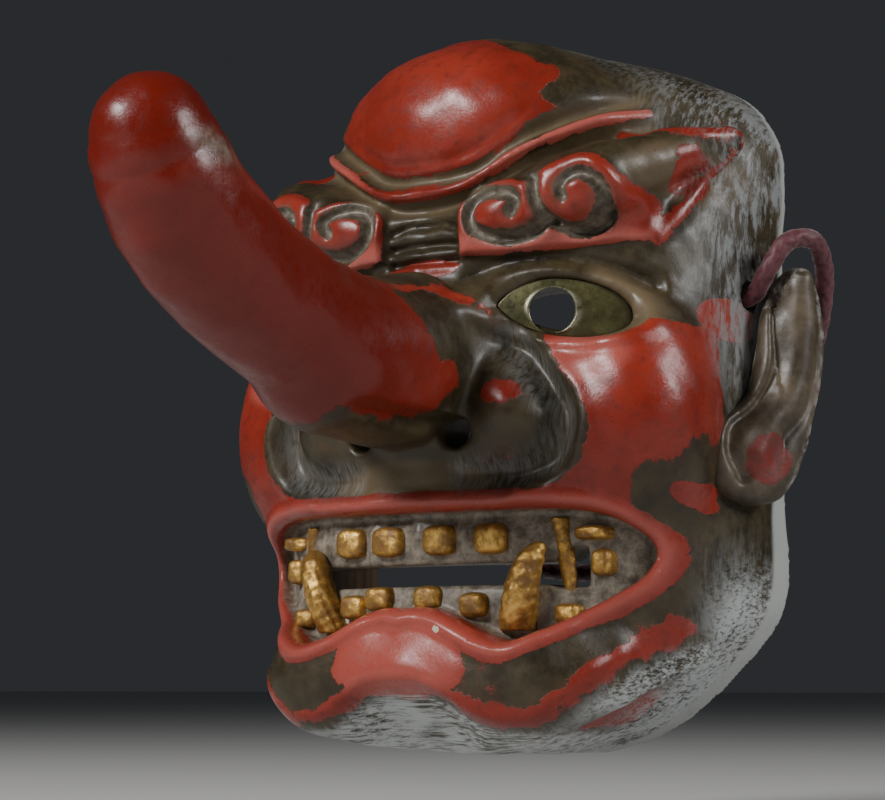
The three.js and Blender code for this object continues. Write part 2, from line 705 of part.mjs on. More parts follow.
let shell = toSolid(shellGeometry());
cutters.forEach((cutter) => {
  shell = shell.subtract(cutter);
});
const pieces = shell.decompose().sort((p, q) => q.volume() - p.volume());
add('mask_shell', toGeometry(pieces[0]), lacquerRed);

const nosePegMiddle = NOSE_PEG_BACK - NOSE_PEG_LENGTH / 2;
const nosePegBore = bore(
  NOSE_PEG_RADIUS + FIT_GAP, NOSE_PEG_LENGTH + 2 * FIT_GAP, 0, nosePegMiddle, NOSE_AXIS_Z, 'y',
);
const nose = toSolid(noseGeometry(0)).subtract(toSolid(nosePegBore));
add('nose', toGeometry(nose), noseRed);
add('nose_peg', bore(NOSE_PEG_RADIUS, NOSE_PEG_LENGTH, 0, nosePegMiddle, NOSE_AXIS_Z, 'y'), bamboo);

let ear = toSolid(earGeometry(0));
EAR_DOWELS.forEach((place) => {
  ear = ear.subtract(toSolid(earDowel(place, FIT_GAP)));
});
addPair('ear', toGeometry(ear), earBrown);
addPair('ear_dowel_upper', earDowel(EAR_DOWELS[0], 0), bamboo);
addPair('ear_dowel_lower', earDowel(EAR_DOWELS[1], 0), bamboo);

addPair('eye_plate', eyePlateGeometry(), eyeGilt);
CAPS.forEach((cap) => {
  add(`${cap[0]}_left`, capGeometry(cap[1], cap, 0), toothGilt);
  add(`${cap[0]}_right`, mirrored(capGeometry(cap[2], cap, 0)), toothGilt);
});
TUSKS.forEach((tusk) => addPair(tusk.name, tuskGeometry(tusk, 0), toothGilt));

add('cord', cordGeometry(), cordPurple);
addPair('cord_knot', knotGeometry(), cordPurple);

export default group;
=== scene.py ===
import functools
import math

import bmesh
import bpy
import numpy as np
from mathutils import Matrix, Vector


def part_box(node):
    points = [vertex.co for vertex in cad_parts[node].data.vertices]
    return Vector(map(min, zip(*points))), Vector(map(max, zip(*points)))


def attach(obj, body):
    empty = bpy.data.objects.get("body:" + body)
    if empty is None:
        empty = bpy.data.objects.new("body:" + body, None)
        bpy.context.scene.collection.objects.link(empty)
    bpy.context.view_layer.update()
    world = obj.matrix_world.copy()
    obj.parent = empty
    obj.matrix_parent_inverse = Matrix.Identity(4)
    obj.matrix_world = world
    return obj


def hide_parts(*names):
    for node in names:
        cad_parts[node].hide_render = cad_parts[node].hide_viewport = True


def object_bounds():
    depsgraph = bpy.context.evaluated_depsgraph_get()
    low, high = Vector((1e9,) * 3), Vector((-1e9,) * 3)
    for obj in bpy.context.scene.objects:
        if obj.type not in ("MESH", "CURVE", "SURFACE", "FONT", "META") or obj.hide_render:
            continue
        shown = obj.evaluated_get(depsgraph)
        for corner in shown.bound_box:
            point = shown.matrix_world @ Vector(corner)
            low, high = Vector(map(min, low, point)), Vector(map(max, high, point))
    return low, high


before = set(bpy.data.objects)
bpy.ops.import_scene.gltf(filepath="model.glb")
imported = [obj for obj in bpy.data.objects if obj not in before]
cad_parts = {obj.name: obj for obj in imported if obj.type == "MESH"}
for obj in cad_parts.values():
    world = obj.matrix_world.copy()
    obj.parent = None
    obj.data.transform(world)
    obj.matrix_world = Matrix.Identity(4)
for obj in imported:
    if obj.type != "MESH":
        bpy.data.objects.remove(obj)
CAD_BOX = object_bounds()
MM = 0.001

# -------- driving sizes (mm, the mask's own frame)
HALF_WIDTH = 93.0
FACE_DEPTH = 87.0
MASK_TOP = 119.0
MASK_BOTTOM = -127.0
WALL = 11.0
FACE_WALL = 14.0
VOXEL = 1.3
EAR_VOXEL = 0.9
FANG_VOXEL = 0.45

EYE_CENTRE = (51.0, -79.0, 19.0)
EYE_TURN = math.radians(25)
EYE_LENGTH = 45.0
EYE_HEIGHT = 19.4
EYE_RISE = 0.57
EYE_SLANT = -0.11
EYE_SINK = 0.6
PUPIL_RADIUS = 7.6
PUPIL_SHIFT = -4.0
PLATE_DOME = 2.2
PLATE_SINK = 1.9
PLATE_THICKNESS = 1.2
PLATE_SEAT = 3.2
PLATE_LEDGE = 2.6

SLIT_Z = -67.5
SLIT_HEIGHT = 7.0
SLIT_END = 58.0
UPPER_ROW = -56.0
LOWER_ROW = -77.5
GUM_RADIUS = 88.0
GUM_FULLNESS = 2.6
GUM_SWELL = 1.5
TOOTH_GAPS = (0, 18.5, 37)

NOSTRIL = (19.0, -21.0)
NOSTRIL_RADIUS = 5.0
NOSTRIL_BACK = -54.0
SLIT_BACK = -10.0
CORD_HOLE = (-22.5, 28.0)
CORD_HOLE_RADIUS = 5.0
CORD_HOLE_INNER = 60.0
CORD_RADIUS = 3.2
CORD_SAG = 62.0

EAR_ROOT = (92.0, -40.0)
EAR_TURN = math.radians(58)
EAR_FRONT = 3.0
EAR_BACK = -11.0

# The photo's viewpoint: degrees round and above the mask, and metres away.
VIEW_AZIMUTH = 32
VIEW_ELEVATION = -7
VIEW_DISTANCE = 0.85
LIGHT_TARGET = Vector((0, -0.06, 0))

SIDES = (("left", 1), ("right", -1))


# -------- field maths on arrays
def track(stations, t):
    """Smooth curve through [t, value] stations."""
    ts = np.array([s[0] for s in stations], np.float32)
    vs = np.array([s[1] for s in stations], np.float32)
    before = np.maximum(np.arange(len(ts)) - 1, 0)
    after = np.minimum(np.arange(len(ts)) + 1, len(ts) - 1)
    slopes = (vs[after] - vs[before]) / (ts[after] - ts[before])
    t = np.clip(t, ts[0], ts[-1])
    i = np.clip(np.searchsorted(ts, t, side="right") - 1, 0, len(ts) - 2)
    span = ts[i + 1] - ts[i]
    u = (t - ts[i]) / span
    u2 = u * u
    u3 = u2 * u
    return (
        (2 * u3 - 3 * u2 + 1) * vs[i]
        + (u3 - 2 * u2 + u) * slopes[i] * span
        + (3 * u2 - 2 * u3) * vs[i + 1]
        + (u3 - u2) * slopes[i + 1] * span
    )


def smooth_min(a, b, k):
    h = np.maximum(k - np.abs(a - b), 0) / k
    return np.minimum(a, b) - h * h * k * 0.25


def smooth_max(a, b, k):
    return -smooth_min(-a, -b, k)


def ease(low, high, t):
    u = np.clip((t - low) / (high - low), 0, 1)
    return u * u * (3 - 2 * u)


def ellipsoid(x, y, z, centre, radii):
    qx = (x - centre[0]) / radii[0]
    qy = (y - centre[1]) / radii[1]
    qz = (z - centre[2]) / radii[2]
    k0 = np.sqrt(qx * qx + qy * qy + qz * qz) + 1e-6
    k1 = np.sqrt((qx / radii[0]) ** 2 + (qy / radii[1]) ** 2 + (qz / radii[2]) ** 2) + 1e-9
    return k0 * (k0 - 1) / k1


def chain(x, y, z, stations):
    """Distance to a chain of round cones given as (x, y, z, radius)."""
    best = np.full(x.shape, 1e3, np.float32)
    for (ax, ay, az, ar), (bx, by, bz, br) in zip(stations, stations[1:]):
        dx, dy, dz = bx - ax, by - ay, bz - az
        t = np.clip(((x - ax) * dx + (y - ay) * dy + (z - az) * dz) / (dx * dx + dy * dy + dz * dz), 0, 1)
        gap = np.sqrt((x - ax - dx * t) ** 2 + (y - ay - dy * t) ** 2 + (z - az - dz * t) ** 2)
        best = np.minimum(best, gap - ar - (br - ar) * t)
    return best


def line_gap(x, z, stations):
    """Distance in the front view to an open line, and how far along it (0 to 1) the nearest point is."""
    best = np.full(x.shape, 1e3, np.float32)
    along = np.zeros(x.shape, np.float32)
    steps = len(stations) - 1
    for i, ((ax, az), (bx, bz)) in enumerate(zip(stations, stations[1:])):
        dx, dz = bx - ax, bz - az
        t = np.clip(((x - ax) * dx + (z - az) * dz) / (dx * dx + dz * dz), 0, 1)
        gap = np.sqrt((x - ax - dx * t) ** 2 + (z - az - dz * t) ** 2)
        along = np.where(gap < best, (i + t) / steps, along)
        best = np.minimum(best, gap)
    return best, along


def rounded(stations, count=24):
    """The same line with its corners rounded, as a Catmull-Rom curve."""
    points = np.array(stations, float)
    keys = np.arange(len(points))
    shares = np.linspace(0, len(points) - 1, count)
    columns = [track(list(zip(keys, points[:, c])), shares) for c in range(points.shape[1])]
    return np.stack(columns, axis=1).tolist()


# -------- the face as one distance field
def sized(stations, size):
    """Stations given as shares of a driving size."""
    return [(z, share * size) for z, share in stations]


HALF_WIDTH_BY_Z = sized([
    (-127, 0.36), (-119, 0.52), (-105, 0.72), (-91, 0.88), (-79, 0.97), (-65, 1), (-40, 0.985),
    (10, 0.98), (50, 0.99), (70, 1), (84, 0.985), (94, 0.93), (102, 0.85), (110, 0.7), (119, 0.5),
], HALF_WIDTH)
DEPTH_BY_Z = sized([
    (-127, 0.95), (-117, 1.12), (-103, 1.15), (-81, 1.12), (-58, 1.07), (-46, 1.1), (-34, 1.12),
    (0, 1.04), (25, 0.97), (42, 0.96), (62, 0.98), (90, 0.97), (100, 0.92), (110, 0.83), (119, 0.7),
], FACE_DEPTH)
FULLNESS_BY_Z = [
    (-127, 2.3), (-90, 2.5), (-60, 2.55), (-42, 2.7), (-10, 3.05), (25, 2.9), (50, 2.5), (75, 1.75), (119, 1.8),
]
# Lumps as (centre, radii). The socket and the eyeball are in the eye's own frame.
FOREHEAD = (0, -52, 88), (52, 38, 33)
CHEEKBONE = (68, -63, -14), (24, 24, 36)
CHIN = (0, -80, -101), (64, 23, 24)
NOSE_WING = (37, -79, -14), (16.5, 20, 17)
EYE_SOCKET = (2, 13, 4), (33, 17, 17)
EYEBALL = (0, -12.5, 0), (28, 15, 15)
# Chains of round cones as (x, y, z, radius).
JAW = [(42, -80, -100, 19), (59, -66, -97, 14.5), (76, -43, -90, 8)]
NOSE_ROOT = [(0, -74, 26, 16), (0, -84, 12, 25), (0, -112, 2, 27), (0, -140, -1, 24)]
NOSE = [
    (0, -112, 1, 26.5), (0, -124, 1.5, 25), (0, -138.5, 4.5, 23.8), (0, -155, 8.5, 23.2), (0, -172, 14, 22.8),
    (0, -186, 20, 22.6), (0, -199, 27.5, 22.4), (0, -208.5, 35, 22), (0, -216, 43.5, 21), (0, -220.5, 50, 19.5),
    (0, -223, 55, 18),
]
BROW = [
    (0, -75, 46, 9), (20, -78, 50, 11), (42, -78, 56, 12.5), (62, -73, 63, 12.5), (75, -57, 70, 9), (88, -36, 79, 5),
]
UNDER_BROW = [
    (0, -96, 33, 4), (12, -93, 33.5, 4.5), (30, -91, 35.5, 5), (50, -86, 35.5, 5), (66, -75, 34, 4.5),
    (76, -63, 29, 3.5),
]
FLAME = [(62, -57, 79, 0), (75, -56, 80, 0), (87, -49, 80, 0), (93, -33, 81, 0), (85, -43, 64, 0), (75, -60, 44, 0)]


# Lines in the front view, as (x, z).
FOLD = rounded([(33, 9), (40, 3), (48, -6), (55, -16), (54, -26), (48, -32.5), (38, -35), (22, -35)])
CHEEK_EDGE = rounded([(44, 9), (51, 1), (59.5, -8), (64, -18), (63, -26), (60, -33), (53, -38.5), (42, -41.5)])
MOUTH = rounded([
    (-14, -47), (0, -47), (30, -47), (52, -47), (64, -48.5), (72, -52.5), (76.5, -60), (74.5, -68), (68, -74),
    (60, -79.5), (50, -86), (42, -89.5), (34, -88.5), (24, -84), (14, -79.5), (4, -78), (-14, -79), (-14, -47),
], 52)
BROW_BAND = rounded([
    (16, 39), (16, 57), (24, 63), (36, 63), (43, 61), (50, 66), (58, 69), (66, 68), (72, 63), (76, 54), (75, 44),
    (66, 41.5), (54, 40), (36, 38.5), (16, 39),
], 44)
CURLS = [
    rounded([
        (37.6, 51.5), (40, 55), (36, 57.6), (28.5, 58.6), (22.8, 56.5), (20.6, 51.5), (23, 46.6), (29.5, 44),
        (37, 43.6), (44, 45.3), (48.5, 48.5),
    ], 30),
    rounded([
        (46, 61), (46.6, 55), (48.6, 50), (52, 46.3), (57.5, 44.8), (62.5, 46.7), (66.6, 51), (68.4, 55.5),
        (66.5, 60), (62, 62.2), (57.6, 61.2), (55, 58.2), (55.6, 55),
    ], 34),
]
CURL_HEARTS = [(31, 50.5), (60.5, 52.5)]
BROW_STEPS = [
    rounded([(0, 51), (7, 51), (13, 49)], 8),
    rounded([(0, 44), (7, 44), (13, 43.5)], 8),
    rounded([(0, 38), (7, 38), (13, 38)], 8),
]
# Forehead folds: the line, its height (negative for a groove) and its half width.
WRINKLES = [
    (rounded([(0, 61.5), (8, 61.7), (18, 63.4), (26, 67.4), (36, 73.8), (47, 79.6), (58, 86), (66, 89)]), 3.4, 2.7),
    (rounded([(0, 57), (12, 57.5), (22, 62), (31, 67), (42, 72.5), (54, 78), (66, 84)]), -2.6, 2.2),
    (rounded([(0, 67), (10, 67.2), (20, 69.5), (29, 75.5), (41, 82.5), (53, 89), (62, 93)]), -2.6, 2.4),
    (rounded([(0, 72), (12, 73), (24, 78), (36, 87)]), -1.2, 2.2),
]


def body_field(x, y, z, side, front, softer):
    """The rounded block of the head, made smaller by side and front for the hollow."""
    w = track(HALF_WIDTH_BY_Z, z) - side
    d = track(DEPTH_BY_Z, z) - front
    n = track(FULLNESS_BY_Z, z) - softer
    s = ((x / w) ** n + (np.abs(y) / d) ** n) ** (1 / n)
    lid = smooth_max(z - MASK_TOP + side, MASK_BOTTOM + side - z, 4)
    return smooth_max((s - 1) * np.minimum(w, d), lid, 16)


def inside_outline(s, z, outline):
    """Signed distance in a plane: negative inside the closed outline."""
    gap = line_gap(s, z, outline)[0]
    crossings = np.zeros(s.shape, int)
    for (ax, az), (bx, bz) in zip(outline, outline[1:]):
        spans = (az > z) != (bz > z)
        at = ax + (z - az) / ((bz - az) or 1e-9) * (bx - ax)
        crossings += spans & (s < at)
    return np.where(crossings % 2 == 1, -gap, gap)


def mouth_outline(x, z):
    """Signed distance to the mouth's edge in the front view."""
    return inside_outline(x, z, MOUTH)


def gum_field(x, y):
    """The upright wall behind the teeth."""
    s = ((x / GUM_RADIUS) ** GUM_FULLNESS + (np.abs(y) / GUM_RADIUS) ** GUM_FULLNESS) ** (1 / GUM_FULLNESS)
    return (s - 1) * GUM_RADIUS


def carved_gums(x, y, z):
    """The gums' surface: a swelling along each row, with a ridge in every gap between two teeth."""
    f = gum_field(x, y)
    upper, lower = ridge(z - UPPER_ROW, 8), ridge(z - LOWER_ROW, 6)
    f = f - GUM_SWELL * upper - GUM_SWELL * lower
    for gap in TOOTH_GAPS:
        f = f - 1.3 * ridge(x - gap, 2) * (upper + lower)
    return f


def eye_local(x, y, z):
    """Along the eye, out of the face and up, from the eye's centre."""
    dx, dy = x - EYE_CENTRE[0], y - EYE_CENTRE[1]
    cos, sin = math.cos(EYE_TURN), math.sin(EYE_TURN)
    return dx * cos + dy * sin, dx * sin - dy * cos, z - EYE_CENTRE[2]


def almond_gap(a, c, grow):
    """Roughly the distance outside the eye opening, pointed at the nose and round at the temple."""
    c = c - EYE_SLANT * a + EYE_SINK
    half = EYE_LENGTH / 2 + grow
    high = EYE_HEIGHT * np.where(c > 0, EYE_RISE, 1 - EYE_RISE) + grow
    u = np.clip(a / half, -1, 1)
    lid = high * (1 - u * u) ** np.where(u < 0, 0.8, 0.45)
    beyond = np.hypot(np.maximum(np.abs(a) - half, 0), np.maximum(np.abs(c) - lid, 0))
    ring = (np.hypot(a / half, c / high) - 1) * high
    return np.where(beyond > 0, np.minimum(beyond, np.maximum(ring, 0.4 * beyond)), np.abs(c) - lid)


def chin_edge(x):
    """Height of the chin's lower front edge: raised in the middle, lowest under the fangs."""
    return -104.5 - 12.5 * ease(6, 38, x) + 30 * ease(46, 86, x)


def jaw_gap(x, z):
    """Distance above the red line along the chin's edge, measured square to the line."""
    slope = 0.45 * ease(44, 58, x) * (1 - ease(78, 88, x))
    return (z - chin_edge(x) - 3) / (1 + slope)


def uneven(x, y, z):
    """The slight waviness of hand carving, about -1 to 1."""
    f = np.sin(0.21 * x + 0.13 * z + 1.3) * np.sin(0.19 * y - 0.11 * x + 0.4)
    return 0.7 * f + 0.5 * np.sin(0.31 * z + 0.17 * y + 2.1) * np.sin(0.27 * x + 0.23 * y)


def blobs(x, y, z):
    """The large forms of the face and the nose."""
    a, b, c = eye_local(x, y, z)
    f = body_field(x, y, z, 0, 0, 0)
    f = smooth_min(f, ellipsoid(x, y, z, *FOREHEAD), 12)
    f = smooth_min(f, chain(x, y, z, BROW), 8)
    f = smooth_min(f, ellipsoid(x, y, z, *CHEEKBONE), 14)
    f = smooth_min(f, ellipsoid(x, y, z, *CHIN), 8)
    f = smooth_min(f, chain(x, y, z, JAW), 10)
    f = smooth_max(f, 0.8 * (chin_edge(x) - z + 0.75 * (-y - 97)), 3)
    f = smooth_max(f, -ellipsoid(a, b, c, *EYE_SOCKET), 7)
    f = smooth_min(f, ellipsoid(a, b, c, *EYEBALL), 4)
    f = smooth_min(f, chain(x, y, z, NOSE_ROOT), 15)
    f = smooth_min(f, chain(x, y, z, NOSE), 5)
    f = smooth_min(f, ellipsoid(x, y, z, *NOSE_WING), 7)
    return smooth_max(f, -chain(x, y, z, UNDER_BROW), 3)


def ridge(gap, width):
    """A bell: 1 on the line, fading out over the width."""
    return np.exp(-((gap / width) ** 2))


def details(x, y, z, f):
    """Carved lines and raised edges on the face, given the blobs' distance."""
    front = ease(38, 56, -y) * (1 - ease(102, 110, -y))
    f = f + front * 5 * ridge(line_gap(x, z, FOLD)[0], 5.5)
    f = f - front * 1.6 * ridge(line_gap(x, z, CHEEK_EDGE)[0], 3.4)
    for line, height, width in WRINKLES:
        gap, along = line_gap(x, z, line)
        f = f - front * height * ridge(gap, width) * (1 - 0.6 * ease(0.8, 1, along))
    f = f - front * 2.4 * ease(-1.4, 1.8, -inside_outline(x, z, BROW_BAND))
    for line in CURLS:
        f = f + front * 3.2 * ridge(line_gap(x, z, line)[0], 1.9)
    for heart in CURL_HEARTS:
        f = f - front * 1.0 * ridge(np.hypot(x - heart[0], z - heart[1]), 5)
    for line in BROW_STEPS:
        f = f + front * 2.2 * ridge(line_gap(x, z, line)[0], 1.5)
    edge = chain(x, y, z, FLAME)
    f = f - 2.4 * ridge(edge, 3.4)
    f = f + 1.2 * ridge(np.sqrt((x - 80) ** 2 + (y + 53) ** 2 + (z - 67) ** 2), 8)
    a, b, c = eye_local(x, y, z)
    lid = almond_gap(a, c, 0)
    at_eye = (np.abs(b) < 16) * (lid < 16)
    f = f - at_eye * 2.0 * ridge(lid - 2.8, 2.1)
    f = f + at_eye * 1.2 * ridge(lid - 7.5, 1.6) * ease(-2, 4, c)
    rim = mouth_outline(x, z)
    f = f - front * 1.1 * ridge(jaw_gap(x, z), 3.4) * (1 - ease(60, 80, x))
    return f - front * (2.6 - 1.1 * ease(44, 66, x)) * ridge(rim - 3.2, 2.8)


def openings(x, y, z, f):
    """The mouth down to its gums, the slit, the eyes, nostrils and cord holes."""
    rim = mouth_outline(x, z)
    f = smooth_max(f, -smooth_max(rim, -carved_gums(x, y, z), 2), 2.0)
    a, b, c = eye_local(x, y, z)
    eye_well = np.maximum(almond_gap(a, c, 0.2), -(b + PLATE_SEAT))
    f = smooth_max(f, -eye_well, 1.2)
    f = np.maximum(f, -np.maximum(almond_gap(a, c, -PLATE_LEDGE), np.abs(b + 24) - 26))
    nostril = np.hypot(x - NOSTRIL[0], z - NOSTRIL[1]) - NOSTRIL_RADIUS
    f = smooth_max(f, -np.maximum(nostril, y - NOSTRIL_BACK), 2)
    lift, widening = 2 * ease(48, 55, x), 3 * ease(46, 55, x)
    slit = np.maximum(np.abs(z - SLIT_Z - lift) - SLIT_HEIGHT / 2 - widening, x - SLIT_END)
    f = smooth_max(f, -np.maximum(slit, y - SLIT_BACK), 1.5)
    hole = np.hypot(y - CORD_HOLE[0], z - CORD_HOLE[1]) - CORD_HOLE_RADIUS
    return smooth_max(f, -np.maximum(hole, CORD_HOLE_INNER - x), 1.0)


def hollow_field(x, y, z):
    """The carved inside of the mask."""
    return body_field(x, y, z, WALL, FACE_WALL + 1, 0.4)


def mask_field(signed_x, y, z):
    """Shell and nose together. The carved detail is worked out near the surface only."""
    x = np.abs(signed_x)
    f = blobs(x, y, z)
    f = np.maximum(f, -hollow_field(x, y, z))
    near = (f < 9) & (f > -30)
    xn, yn, zn = x[near], y[near], z[near]
    fn = blobs(xn, yn, zn) + 0.4 * uneven(signed_x[near], yn, zn)
    fn = details(xn, yn, zn, fn)
    fn = openings(xn, yn, zn, fn)
    fn = np.maximum(fn, -hollow_field(xn, yn, zn))
    f[near] = fn
    return np.maximum(f, y)


# -------- surface from a field
def field_surface(field, low, high, step):
    """Points and quads of the field's zero surface, by surface nets. settle() then pulls the points onto it."""
    axes = [np.arange(lo, hi + step, step, dtype=np.float32) for lo, hi in zip(low, high)]
    shape = tuple(len(a) for a in axes)
    values = np.empty(shape, np.float32)
    layers = 24
    for k in range(0, shape[2], layers):
        grid = np.meshgrid(axes[0], axes[1], axes[2][k:k + layers], indexing="ij")
        flat = [g.ravel() for g in grid]
        values[:, :, k:k + layers] = field(*flat).reshape(grid[0].shape)
    inside = values < 0
    corners = np.zeros(tuple(n - 1 for n in shape), np.uint8)
    for i in range(8):
        dx, dy, dz = i & 1, (i >> 1) & 1, i >> 2
        part = inside[dx:shape[0] - 1 + dx, dy:shape[1] - 1 + dy, dz:shape[2] - 1 + dz]
        corners += part.astype(np.uint8)
    cells = np.argwhere((corners > 0) & (corners < 8))
    number = np.full(corners.shape, -1, np.int64)
    number[tuple(cells.T)] = np.arange(len(cells))
    points = cell_points(values, cells)
    points = points * step + np.array([a[0] for a in axes])
    faces = []
    for axis in range(3):
        faces.append(crossing_quads(inside, number, axis))
    return points, np.concatenate(faces)


def cell_points(values, cells):
    """The middle of the zero crossings on each cell's edges."""
    total = np.zeros((len(cells), 3))
    count = np.zeros(len(cells))
    offsets = [(i & 1, (i >> 1) & 1, i >> 2) for i in range(8)]
    for i, a in enumerate(offsets):
        for b in offsets[i + 1:]:
            if sum(abs(p - q) for p, q in zip(a, b)) != 1:
                continue
            va = values[tuple((cells + a).T)]
            vb = values[tuple((cells + b).T)]
            cross = (va < 0) != (vb < 0)
            t = np.where(cross, va / np.where(cross, va - vb, 1), 0)
            point = np.array(a) + t[:, None] * (np.array(b) - np.array(a))
            total += np.where(cross[:, None], point, 0)
            count += cross
    return cells + total / count[:, None]


def crossing_quads(inside, number, axis):
    """A quad around each grid edge along the axis that crosses the surface."""
    along = [slice(None)] * 3
    shifted = [slice(None)] * 3
    along[axis] = slice(0, -1)
    shifted[axis] = slice(1, None)
    a = inside[tuple(along)]
    b = inside[tuple(shifted)]
    edges = np.argwhere(a != b)
    others = [i for i in range(3) if i != axis]
    keep = np.ones(len(edges), bool)
    for o in others:
        keep &= (edges[:, o] > 0) & (edges[:, o] < inside.shape[o] - 1)
    edges = edges[keep]
    u, v = np.zeros(3, int), np.zeros(3, int)
    u[others[0]] = 1
    v[others[1]] = 1
    ring = [edges - u - v, edges - v, edges, edges - u]
    quads = np.stack([number[tuple(r.T)] for r in ring], axis=1)
    solid_first = a[tuple(edges.T)]
    flip = solid_first if axis == 1 else ~solid_first
    quads[flip] = quads[flip][:, ::-1]
    return quads


def settle(field, points, passes=3, reach=0.35):
    """Pulls points onto the field's zero surface."""
    p = points.astype(np.float32)
    for _ in range(passes):
        value = field(p[:, 0], p[:, 1], p[:, 2])
        slope = gradient(field, p)
        size = np.maximum((slope * slope).sum(1), 0.05)
        move = -(value / size)[:, None] * slope
        length = np.linalg.norm(move, axis=1, keepdims=True)
        p = p + move * np.minimum(1, reach / np.maximum(length, 1e-6))
    return p


def gradient(field, p, d=0.25):
    parts = []
    for axis in range(3):
        ahead, behind = p.copy(), p.copy()
        ahead[:, axis] += d
        behind[:, axis] -= d
        parts.append((field(*ahead.T) - field(*behind.T)) / (2 * d))
    return np.stack(parts, axis=1)


def add_object(name, data):
    obj = bpy.data.objects.new(name, data)
    bpy.context.scene.collection.objects.link(obj)
    return obj


def new_mesh(name, points, faces):
    mesh = bpy.data.meshes.new(name)
    mesh.vertices.add(len(points))
    mesh.vertices.foreach_set("co", (np.asarray(points, np.float64) * MM).ravel())
    faces = np.asarray(faces)
    size = faces.shape[1]
    mesh.loops.add(len(faces) * size)
    mesh.loops.foreach_set("vertex_index", faces.ravel().astype(np.int32))
    mesh.polygons.add(len(faces))
    mesh.polygons.foreach_set("loop_start", np.arange(0, len(faces) * size, size, dtype=np.int32))
    mesh.polygons.foreach_set("use_smooth", np.ones(len(faces), bool))
    mesh.update(calc_edges=True)
    mesh.validate()
    return add_object(name, mesh)


def paint_layer(obj, name, values):
    layer = obj.data.attributes.new(name, "FLOAT", "POINT")
    layer.data.foreach_set("value", np.clip(values, 0, 1).astype(np.float32))


# -------- camera
def make_camera():
    """Seen from the mask's left front and a little below, as it is shown."""
    azimuth, elevation = math.radians(VIEW_AZIMUTH), math.radians(VIEW_ELEVATION)
    back = Vector((
        math.sin(azimuth) * math.cos(elevation),
        -math.cos(azimuth) * math.cos(elevation),
        math.sin(elevation),
    ))
    data = bpy.data.cameras.new("camera")
    data.sensor_width = 36
    data.lens = 94
    data.clip_end = 50
    data.shift_x = -0.133
    data.shift_y = 0.002
    camera = add_object("camera", data)
    camera.location = back * VIEW_DISTANCE
    camera.rotation_euler = back.to_track_quat("Z", "Y").to_euler()
    bpy.context.scene.camera = camera


make_camera()


# -------- material helpers
class Nodes:
    """A short way to write a material's node tree."""

    def __init__(self, name):
        self.material = bpy.data.materials.new(name)
        self.material.use_nodes = True
        self.tree = self.material.node_tree
        self.shader = self.tree.nodes["Principled BSDF"]
        self.place = self.add("ShaderNodeTexCoord").outputs["Object"]

    def add(self, kind, **settings):
        node = self.tree.nodes.new(kind)
        for key, value in settings.items():
            setattr(node, key, value)
        return node

    def put(self, socket, value):
        if isinstance(value, bpy.types.NodeSocket):
            self.tree.links.new(value, socket)
        elif isinstance(value, tuple) and len(value) == 3 and socket.type == "RGBA":
            socket.default_value = (*value, 1)
        else:
            socket.default_value = value

    def noise(self, scale, detail=6, rough=0.6, stretch=None, turn=None, distortion=0.0):
        node = self.add("ShaderNodeTexNoise")
        self.put(node.inputs["Scale"], scale)
        self.put(node.inputs["Detail"], detail)
        self.put(node.inputs["Roughness"], rough)
        self.put(node.inputs["Distortion"], distortion)
        self.put(node.inputs["Vector"], self.mapped(stretch, turn))
        return node.outputs["Fac"]

    def mapped(self, stretch=None, turn=None):
        """The object's own coordinates, stretched and turned."""
        if stretch is None and turn is None:
            return self.place
        node = self.add("ShaderNodeMapping")
        self.put(node.inputs["Vector"], self.place)
        self.put(node.inputs["Scale"], stretch or (1, 1, 1))
        self.put(node.inputs["Rotation"], turn or (0, 0, 0))
        return node.outputs["Vector"]

    def cells(self, scale):
        node = self.add("ShaderNodeTexVoronoi")
        self.put(node.inputs["Scale"], scale)
        self.put(node.inputs["Vector"], self.place)
        return node.outputs["Distance"]

    def paint(self, name):
        return self.add("ShaderNodeAttribute", attribute_name=name).outputs["Fac"]

    def math(self, operation, a, b, clamp=False):
        node = self.add("ShaderNodeMath", operation=operation, use_clamp=clamp)
        self.put(node.inputs[0], a)
        self.put(node.inputs[1], b)
        return node.outputs[0]

    def plus(self, a, b, clamp=False):
        return self.math("ADD", a, b, clamp)

    def minus(self, a, b):
        return self.math("SUBTRACT", a, b)

    def times(self, a, b):
        return self.math("MULTIPLY", a, b)

    def span(self, value, low, high, to_low=0.0, to_high=1.0):
        node = self.add("ShaderNodeMapRange", interpolation_type="SMOOTHSTEP")
        self.put(node.inputs["Value"], value)
        self.put(node.inputs["From Min"], low)
        self.put(node.inputs["From Max"], high)
        self.put(node.inputs["To Min"], to_low)
        self.put(node.inputs["To Max"], to_high)
        return node.outputs["Result"]

    def mix(self, share, a, b):
        node = self.add("ShaderNodeMix", data_type="RGBA")
        self.put(node.inputs[0], share)
        self.put(node.inputs[6], a)
        self.put(node.inputs[7], b)
        return node.outputs[2]

    def bump(self, height, strength, distance, normal=None):
        node = self.add("ShaderNodeBump")
        self.put(node.inputs["Height"], height)
        self.put(node.inputs["Strength"], strength)
        self.put(node.inputs["Distance"], distance)
        if normal is not None:
            self.put(node.inputs["Normal"], normal)
        return node.outputs["Normal"]

    def finish(self, color, roughness, normal=None, metallic=0.0, **uniform):
        self.put(self.shader.inputs["Base Color"], color)
        self.put(self.shader.inputs["Roughness"], roughness)
        self.put(self.shader.inputs["Metallic"], metallic)
        if normal is not None:
            self.put(self.shader.inputs["Normal"], normal)
        for key, value in uniform.items():
            self.put(self.shader.inputs[key.replace("_", " ")], value)
        return self.material


